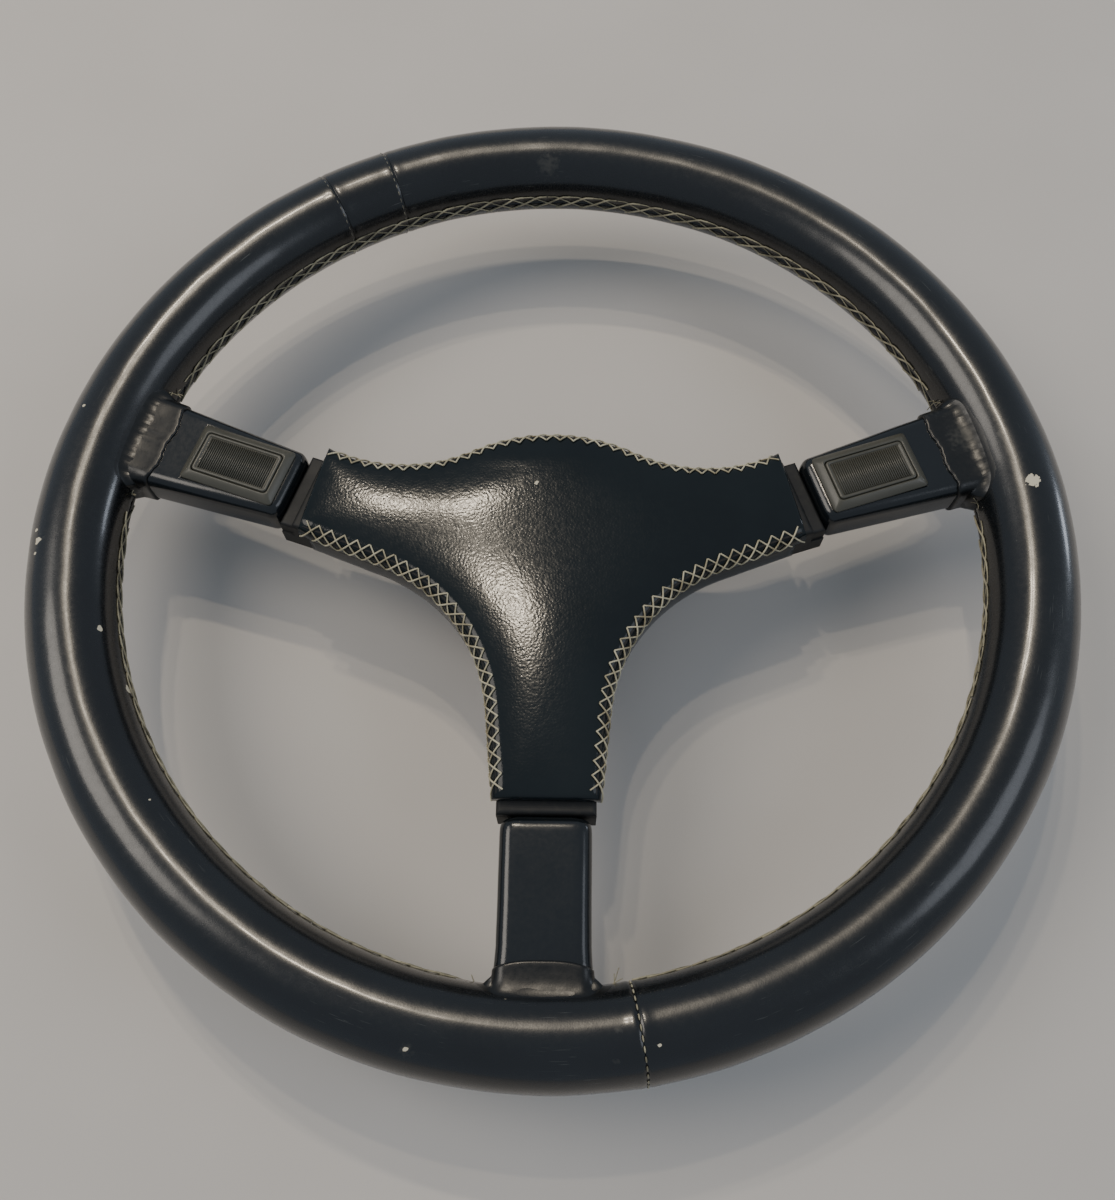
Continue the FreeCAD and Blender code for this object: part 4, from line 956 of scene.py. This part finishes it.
def pad_rings():
    """Loops of points over the shoulder, from under the edge to the flat."""
    radii = [edge_radius(i) for i in range(len(outline))]
    rings = []
    for angle in [-24, -12, 0, 12, 24, 36, 48, 60, 70, 80, 90]:
        a = math.radians(angle)
        drawn = 1 - math.cos(max(0.0, a))
        flat = inset(outline, [radius * drawn for radius in radii])
        ring = []
        for i, (x, y) in enumerate(flat):
            radius = (radii[i] + radii[i - 1]) / 2
            z = SHOULDER_LEVEL + SHOULDER - radius * (1 - math.sin(max(0.0, a)))
            ring.append((x, y, z + SHOULDER * math.sin(min(0.0, a))))
        rings.append(ring)
    return rings


rings = pad_rings()
inner_ring = [Vector((x, y)) for x, y, _ in rings[-1]]
# A grid of even triangles that covers the pad, kept where it is clear of the inner ring.
SPACING, ROW_STEP, CLEARANCE = 2.3, 0.866, 0.75
fill = []
for row in range(-50, 30):
    for column in range(-45, 46):
        x, y = (column + 0.5 * (row % 2)) * SPACING, row * SPACING * ROW_STEP
        near = min((Vector((x, y)) - p).length for p in inner_ring[::2])
        if near > SPACING * CLEARANCE:
            fill.append(Vector((x, y)))
loop = [tuple(p) for p in inner_ring]
flat = geometry.delaunay_2d_cdt([Vector(p) for p in loop] + fill, [], [list(range(len(loop)))], 1, 1e-6)
verts, faces = flat[0], flat[2]
rows, columns = len(rings), len(outline)
points = [Vector(p) for ring in rings[:-1] for p in ring]
top = SHOULDER_LEVEL + SHOULDER
first = len(points)
key = {(round(x, 4), round(y, 4)): j for j, (x, y) in enumerate(loop)}
order, extra = {}, 0
for i, v in enumerate(verts):
    j = key.get((round(v.x, 4), round(v.y, 4)))
    if j is None:
        order[i] = first + columns + extra
        extra += 1
    else:
        order[i] = first + j
points += [Vector(p) for p in rings[-1]]
points += [Vector((v.x, v.y, top)) for i, v in enumerate(verts) if order[i] >= first + columns]
skin_faces = ring_faces(rows, columns) + [tuple(order[i] for i in face) for face in faces]
pad = mesh_object("pad_hide", [p * MM for p in points], skin_faces, pad_hide)
pinned = rows - 3
print("pad skin:", len(pad.data.vertices), "points")


# %% Pad simulation
PRESSURE, MOST_LIFT, PAD_THICK = 4.0, 1.6, 1.2


def swell(piece, held, pressure, cap, frames=20):
    """Cloth with air pressure; the held points stay, and no point moves further than the cap."""
    rest = np.array([v.co for v in piece.data.vertices])
    group = piece.vertex_groups.new(name="held")
    group.add(held, 1.0, "REPLACE")
    cloth = piece.modifiers.new("cloth", "CLOTH")
    cloth.settings.vertex_group_mass = "held"
    cloth.settings.use_pressure = True
    cloth.settings.uniform_pressure_force = pressure
    cloth.settings.tension_stiffness = 40
    cloth.settings.compression_stiffness = 40
    cloth.settings.bending_stiffness = 4.0
    cloth.settings.effector_weights.gravity = 0.0
    cloth.settings.quality = 6
    cloth.point_cache.frame_start, cloth.point_cache.frame_end = 1, frames
    for step in range(1, frames + 1):
        scene.frame_set(step)
    grown = piece.evaluated_get(bpy.context.evaluated_depsgraph_get())
    now = np.array([v.co for v in grown.data.vertices])
    piece.modifiers.remove(cloth)
    piece.vertex_groups.remove(group)
    scene.frame_set(1)
    move = now - rest
    size = np.linalg.norm(move, axis=1, keepdims=True)
    move *= cap * np.tanh(size / cap) / np.maximum(size, 1e-9)
    piece.data.vertices.foreach_set("co", (rest + move).ravel())
    piece.data.update()
    return float(np.abs(move).max())


held = list(range(pinned * columns))
print("pad lift:", round(swell(pad, held, PRESSURE, MOST_LIFT * MM) / MM, 2), "mm")
solid = pad.modifiers.new("hide", "SOLIDIFY")
solid.thickness, solid.offset = PAD_THICK * MM, -1.0
pad.data = plain_mesh(pad)
pad.modifiers.clear()
settle(pad, "root", "pad_leather", "pad_leather")


# %% [markdown]
# Side bands and pad lacing
#
# A strip of the same hide goes round the pad's wall, and the lacing ties it to the top. The
# bands are closed skins along the outline's three laced stretches, a little uneven as glued
# hide is. The lacing's rail is the outline drawn in by the shoulder, so that the strands arc
# over the shoulder from the wall to the flat.


# %% Side bands
def band(name, path):
    """Hide glued round the pad's wall under the lacing: a thin closed strip along a path."""
    columns = []
    for draw, z in ((0.5, 44.2), (0.25, 46), (0.3, 49), (0.15, 52), (0.45, 55.7), (1.6, 55.9), (1.6, 44.2)):
        line = inset(path, [draw] * len(path), closed=False)
        columns.append([Vector((x, y, z)) for x, y in line])
    grid = np.array(columns).transpose(1, 0, 2) * MM
    for i in range(1, len(grid) - 1):
        for j in range(5):
            p = Vector(grid[i, j])
            grid[i, j, :2] += 0.12 * MM * noise.noise(p * 120)
    return capped_skin(name, grid, pad_hide)


LACED_EDGES = (("top", top_edge), ("left", left_edge), ("right", right_edge))
bands = [band(f"pad_band_{name}", path[2:-2]) for name, path in LACED_EDGES]
for number, piece in enumerate(bands):
    settle(piece, "root", "pad_leather", *(["pad_side_band"] if number == 0 else []))
print("bands:", len(bands))

# %% Pad lacing
laces = []
for name, path in LACED_EDGES:
    line = inset(path, [SHOULDER] * len(path), closed=False)
    source = rail(f"rail_{name}", [(x * MM, y * MM, SHOULDER_LEVEL * MM) for x, y in line])
    laces.append(grow(f"pad_lacing_{name}", lacing, {
        "Pitch": 4.7 * MM, "Span": 1.5, "Arc Radius": 5.35 * MM, "Start Angle": math.radians(-12),
        "End Angle": math.radians(78), "Flat Run": 0.0, "Thread Radius": 0.31 * MM,
        "Under Radius": 0.29 * MM, "Material": pad_thread}, source))
for number, piece in enumerate(laces):
    settle(piece, "root", "lacing", *(["pad_lacing"] if number == 0 else []))
    print(piece.name, len(piece.data.polygons), "faces")

# %% [markdown]
# Rim lacing
#
# The same tree closes the rim's leather on its inner side, in three runs between the arms. The
# rail is the circle in the middle of the tube, and the strands lie just proud of the leather.

# %% Rim lacing
# Clock angles between which each run of lacing lies.
GAPS = {"upper": (22.5, 157.5), "lower_left": (174.5, 262.0), "lower_right": (278.0, 365.5)}
runs = []
for name, (begin, end) in GAPS.items():
    turns = np.radians(np.linspace(end, begin, int(end - begin)))
    middle = [Vector((RIM * math.cos(turn), RIM * math.sin(turn), LEVEL)) * MM for turn in turns]
    runs.append(grow(f"rim_lacing_{name}", lacing, {
        "Pitch": 10.4 * MM, "Span": 1.6, "Arc Radius": 16.25 * MM, "Start Angle": math.radians(-20),
        "End Angle": math.radians(4), "Flat Run": 0.24, "Thread Radius": 0.34 * MM,
        "Under Radius": 0.24 * MM, "Points": 11, "Material": rim_thread}, rail(f"rail_{name}", middle)))
for number, piece in enumerate(runs):
    settle(piece, "root", "lacing", *(["rim_lacing"] if number == 0 else []))
    print(piece.name, len(piece.data.polygons), "faces")

# %% [markdown]
# Cross seams
#
# At each cross seam a plain running stitch goes round the tube. Each stitch is a small bead,
# a sphere drawn out along the rail, so eight sides are enough.

# %% Running stitch tree
running, given = new_tree("running_stitch", [
    ("Pitch", FLOAT, 3.0 * MM), ("Stitch", FLOAT, 2.2 * MM), ("Thread Radius", FLOAT, 0.3 * MM),
    ("Material", "NodeSocketMaterial", None)])
dots = add_node(running, "GeometryNodeCurveToPoints", {
    0: given.outputs["Geometry"], "Length": given.outputs["Pitch"]}, mode="LENGTH")
aim = add_node(running, "FunctionNodeAlignRotationToVector", {"Vector": dots.outputs["Tangent"]}, axis="X")
half = add_node(running, "ShaderNodeMath", {0: given.outputs["Stitch"], 1: 0.5}, operation="MULTIPLY")
shape = add_node(running, "ShaderNodeCombineXYZ", {
    0: half, 1: given.outputs["Thread Radius"], 2: given.outputs["Thread Radius"]})
bead = add_node(running, "GeometryNodeMeshUVSphere", {"Segments": 8, "Rings": 6, "Radius": 1.0})
placed = add_node(running, "GeometryNodeInstanceOnPoints", {
    "Points": dots, "Instance": bead, "Rotation": aim, "Scale": shape})
close_tree(running, placed, given.outputs["Material"])

# %% Seam stitches
seams = []
for number, (seam, pitch, stitch, radius, finish) in enumerate((
        (SEAMS[0], 2.7, 1.7, 0.17, seam_thread), (SEAMS[1], 2.7, 1.5, 0.16, seam_thread),
        (SEAMS[2], 3.1, 2.3, 0.30, rim_thread))):
    side_step = 0.0 if number == 2 else 0.35
    hoop = [on_rim(seam + side_step, s, 0.05) for s in np.linspace(174, -156, 90)]
    seams.append(grow(f"seam_stitches_{number}", running, {
        "Pitch": pitch * MM, "Stitch": stitch * MM, "Thread Radius": radius * MM, "Material": finish},
        rail(f"rail_seam_{number}", hoop)))
for number, piece in enumerate(seams):
    settle(piece, "root", "lacing", *(["rim_seam_threads"] if number == 0 else []))
print("seam stitches:", sum(len(piece.data.polygons) for piece in seams), "faces")

# %% [markdown]
# Horn pushes
#
# Each push is a ribbed key in a bevelled frame. The key is a rounded slab with a smooth border
# and fine ribs across its middle, 0.8 mm apart, moulded in one piece. The ribs are half
# cylinders placed by a tree along the key.

# %% Rib tree and keys
ribs, given = new_tree("key_ribs", [
    ("Count", WHOLE, 33), ("Pitch", FLOAT, 0.8 * MM), ("Rib Length", FLOAT, 13.0 * MM),
    ("Rib Radius", FLOAT, 0.27 * MM),
    ("Material", "NodeSocketMaterial", None)])
step = add_node(ribs, "ShaderNodeCombineXYZ", {0: given.outputs["Pitch"]})
spots = add_node(ribs, "GeometryNodeMeshLine", {"Count": given.outputs["Count"], "Offset": step})
bar = add_node(ribs, "GeometryNodeMeshCylinder", {
    "Vertices": 8, "Radius": given.outputs["Rib Radius"], "Depth": given.outputs["Rib Length"]})
row_of = add_node(ribs, "GeometryNodeInstanceOnPoints", {
    "Points": spots, "Instance": bar, "Rotation": (math.pi / 2, 0, 0)})
close_tree(ribs, row_of, given.outputs["Material"])


PUSH_MIDDLE = 118.0


def push_rings(spoke, loops):
    """Rounded rectangles in plan; loops are (length, width, height, corner radius)."""
    place = spoke_matrix(spoke) @ Matrix.Translation(Vector((PUSH_MIDDLE, 0, 0)) * MM)
    grid = []
    for long, wide, z, corner in loops:
        loop = rounded_box(long, -wide / 2, wide / 2, corner, steps=5)
        grid.append([place @ (Vector((x, y, z)) * MM) for x, y in loop])
    return np.array(grid)


KEY_LOOPS = [(32, 18, 55.2, 1.2), (32, 18, 56.4, 1.2), (30, 16, 56.4, 1.4), (30, 16, 60.0, 1.4),
             (29.7, 15.7, 60.35, 1.3), (29.2, 15.2, 60.5, 1.2), (27.6, 13.9, 60.5, 0.8),
             (27.3, 13.6, 59.95, 0.7)]
FIRST_RIB = (PUSH_MIDDLE - 12.8, 0, 60.28)
for spoke in SIDES:
    key_piece = capped_skin(f"push_key_{spoke}", push_rings(spoke, KEY_LOOPS), push_plastic, smooth=False)
    for polygon in key_piece.data.polygons:
        polygon.use_smooth = len(polygon.vertices) == 4
    rib_piece = grow(f"push_ribs_{spoke}", ribs, {"Material": push_plastic})
    rib_piece.data.transform(spoke_matrix(spoke) @ Matrix.Translation(Vector(FIRST_RIB) * MM))
    settle(key_piece, f"key_{spoke}", "horn_plastic", f"horn_key_{spoke}")
    settle(rib_piece, f"key_{spoke}", "horn_plastic")
print("keys and ribs made")

# %% Bezels
BEZEL_LOOPS = [(30.6, 16.6, 52.0, 1.5), (34.6, 20.8, 52.0, 1.2), (34.6, 20.8, 58.1, 1.2),
               (37.0, 23.2, 58.1, 1.5), (37.0, 23.2, 58.55, 1.5), (36.75, 22.95, 58.8, 1.5),
               (32.0, 18.0, 60.3, 1.5), (31.6, 17.6, 60.38, 1.5), (31.1, 17.1, 60.3, 1.6),
               (30.7, 16.7, 60.1, 1.6), (30.6, 16.6, 59.7, 1.5)]
for spoke in SIDES:
    grid = push_rings(spoke, BEZEL_LOOPS)
    faces = ring_faces(*grid.shape[:2], closed_rows=True)
    piece = mesh_object(f"push_bezel_{spoke}", grid.reshape(-1, 3), faces, push_plastic)
    settle(piece, "root", "horn_plastic", f"horn_bezel_{spoke}")
print("bezels made")

# %% [markdown]
# Springs
#
# The measured springs are plain tubes. The real ones are open coils, and a spiral curve with a
# round section makes them in one tree. Each is put on the root body with a mesh of its own.

# %% Coil tree and springs
coil, given = new_tree("coil", [
    ("Turns", FLOAT, 5.0), ("Radius", FLOAT, 2.0 * MM), ("Height", FLOAT, 5.0 * MM),
    ("Wire", FLOAT, 0.3 * MM), ("Resolution", WHOLE, 20), ("Material", "NodeSocketMaterial", None)])
spiral = add_node(coil, "GeometryNodeCurveSpiral", {
    "Resolution": given.outputs["Resolution"], "Rotations": given.outputs["Turns"],
    "Start Radius": given.outputs["Radius"], "End Radius": given.outputs["Radius"],
    "Height": given.outputs["Height"]})
round_wire = add_node(coil, "GeometryNodeCurvePrimitiveCircle", {
    "Resolution": 8, "Radius": given.outputs["Wire"]})
wound = add_node(coil, "GeometryNodeCurveToMesh", {0: spiral, 1: round_wire, "Fill Caps": True})
close_tree(coil, wound, given.outputs["Material"])


def make_coil(name, place, turns, radius, low, high, wire, resolution=20):
    """A coil spring between two heights, sizes in millimetres."""
    piece = grow(name, coil, {
        "Turns": turns, "Radius": radius * MM, "Height": (high - low - 2 * wire) * MM, "Wire": wire * MM,
        "Resolution": resolution, "Material": spring_wire})
    piece.data.transform(place @ Matrix.Translation(Vector((0, 0, low + wire)) * MM))
    return piece


spring = make_coil("collar_spring_coil", Matrix.Identity(4), turns=3.6, radius=22.7, low=24.1, high=37.9,
                   wire=0.95, resolution=48)
settle(spring, "root", "spring_steel", "release_spring")
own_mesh(spring)
for spoke in SIDES:
    for number, along in enumerate((107.0, 129.0)):
        place = spoke_matrix(spoke) @ Matrix.Translation(Vector((along, 0, 0)) * MM)
        small = make_coil(f"push_spring_{spoke}_{number}", place, turns=5.0, radius=2.0, low=49.5, high=55.1,
                          wire=0.28)
        settle(small, "root", "spring_steel", *([f"horn_springs_{spoke}"] if number == 0 else []))
        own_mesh(small)
print("springs made")


# %% [markdown]
# Frayed ends
#
# Old lacing ends in loose tufts at the spoke roots. Each is a short bent thread, a curve with
# a thin round bevel, turned into a mesh.

# %% Frays
FRAY_RADIUS = 0.16


def loose_end(name, points):
    """A short thread through points in millimetres."""
    curve = bpy.data.curves.new(name, "CURVE")
    curve.dimensions, curve.bevel_depth, curve.bevel_resolution = "3D", FRAY_RADIUS * MM, 1
    curve.use_fill_caps = True
    spline = curve.splines.new("NURBS")
    spline.points.add(len(points) - 1)
    for knot, p in zip(spline.points, points):
        knot.co = (*(Vector(p) * MM), 1.0)
    spline.order_u, spline.use_endpoint_u = 3, True
    holder = link(name, curve)
    mesh = plain_mesh(holder)
    bpy.data.objects.remove(holder)
    mesh.polygons.foreach_set("use_smooth", [True] * len(mesh.polygons))
    mesh.materials.clear()
    mesh.materials.append(rim_thread)
    return link(name, mesh)


rng = np.random.default_rng(11)
tufts = 0
for around, section in ((157.5, 178), (158.2, 168), (22.5, 178), (21.8, 170), (174.0, 178), (6.0, 176),
                        (262.0, 178), (278.2, 174)):
    root = on_rim(around, section, 0.1) / MM
    for strand in range(4):
        lean = Vector(rng.normal(0, 1, 3)) * 1.5 - Vector((root.x, root.y, 0)).normalized() * 1.6
        mid = root + lean * 0.4 + Vector((0, 0, 0.5))
        tip = root + lean * 0.9 + Vector((0, 0, rng.uniform(-0.6, 0.8)))
        piece = loose_end(f"loose_thread_{tufts}", [root - lean * 0.2, root + lean * 0.2, mid, tip])
        settle(piece, "root", "lacing")
        tufts += 1
print("loose threads:", tufts)
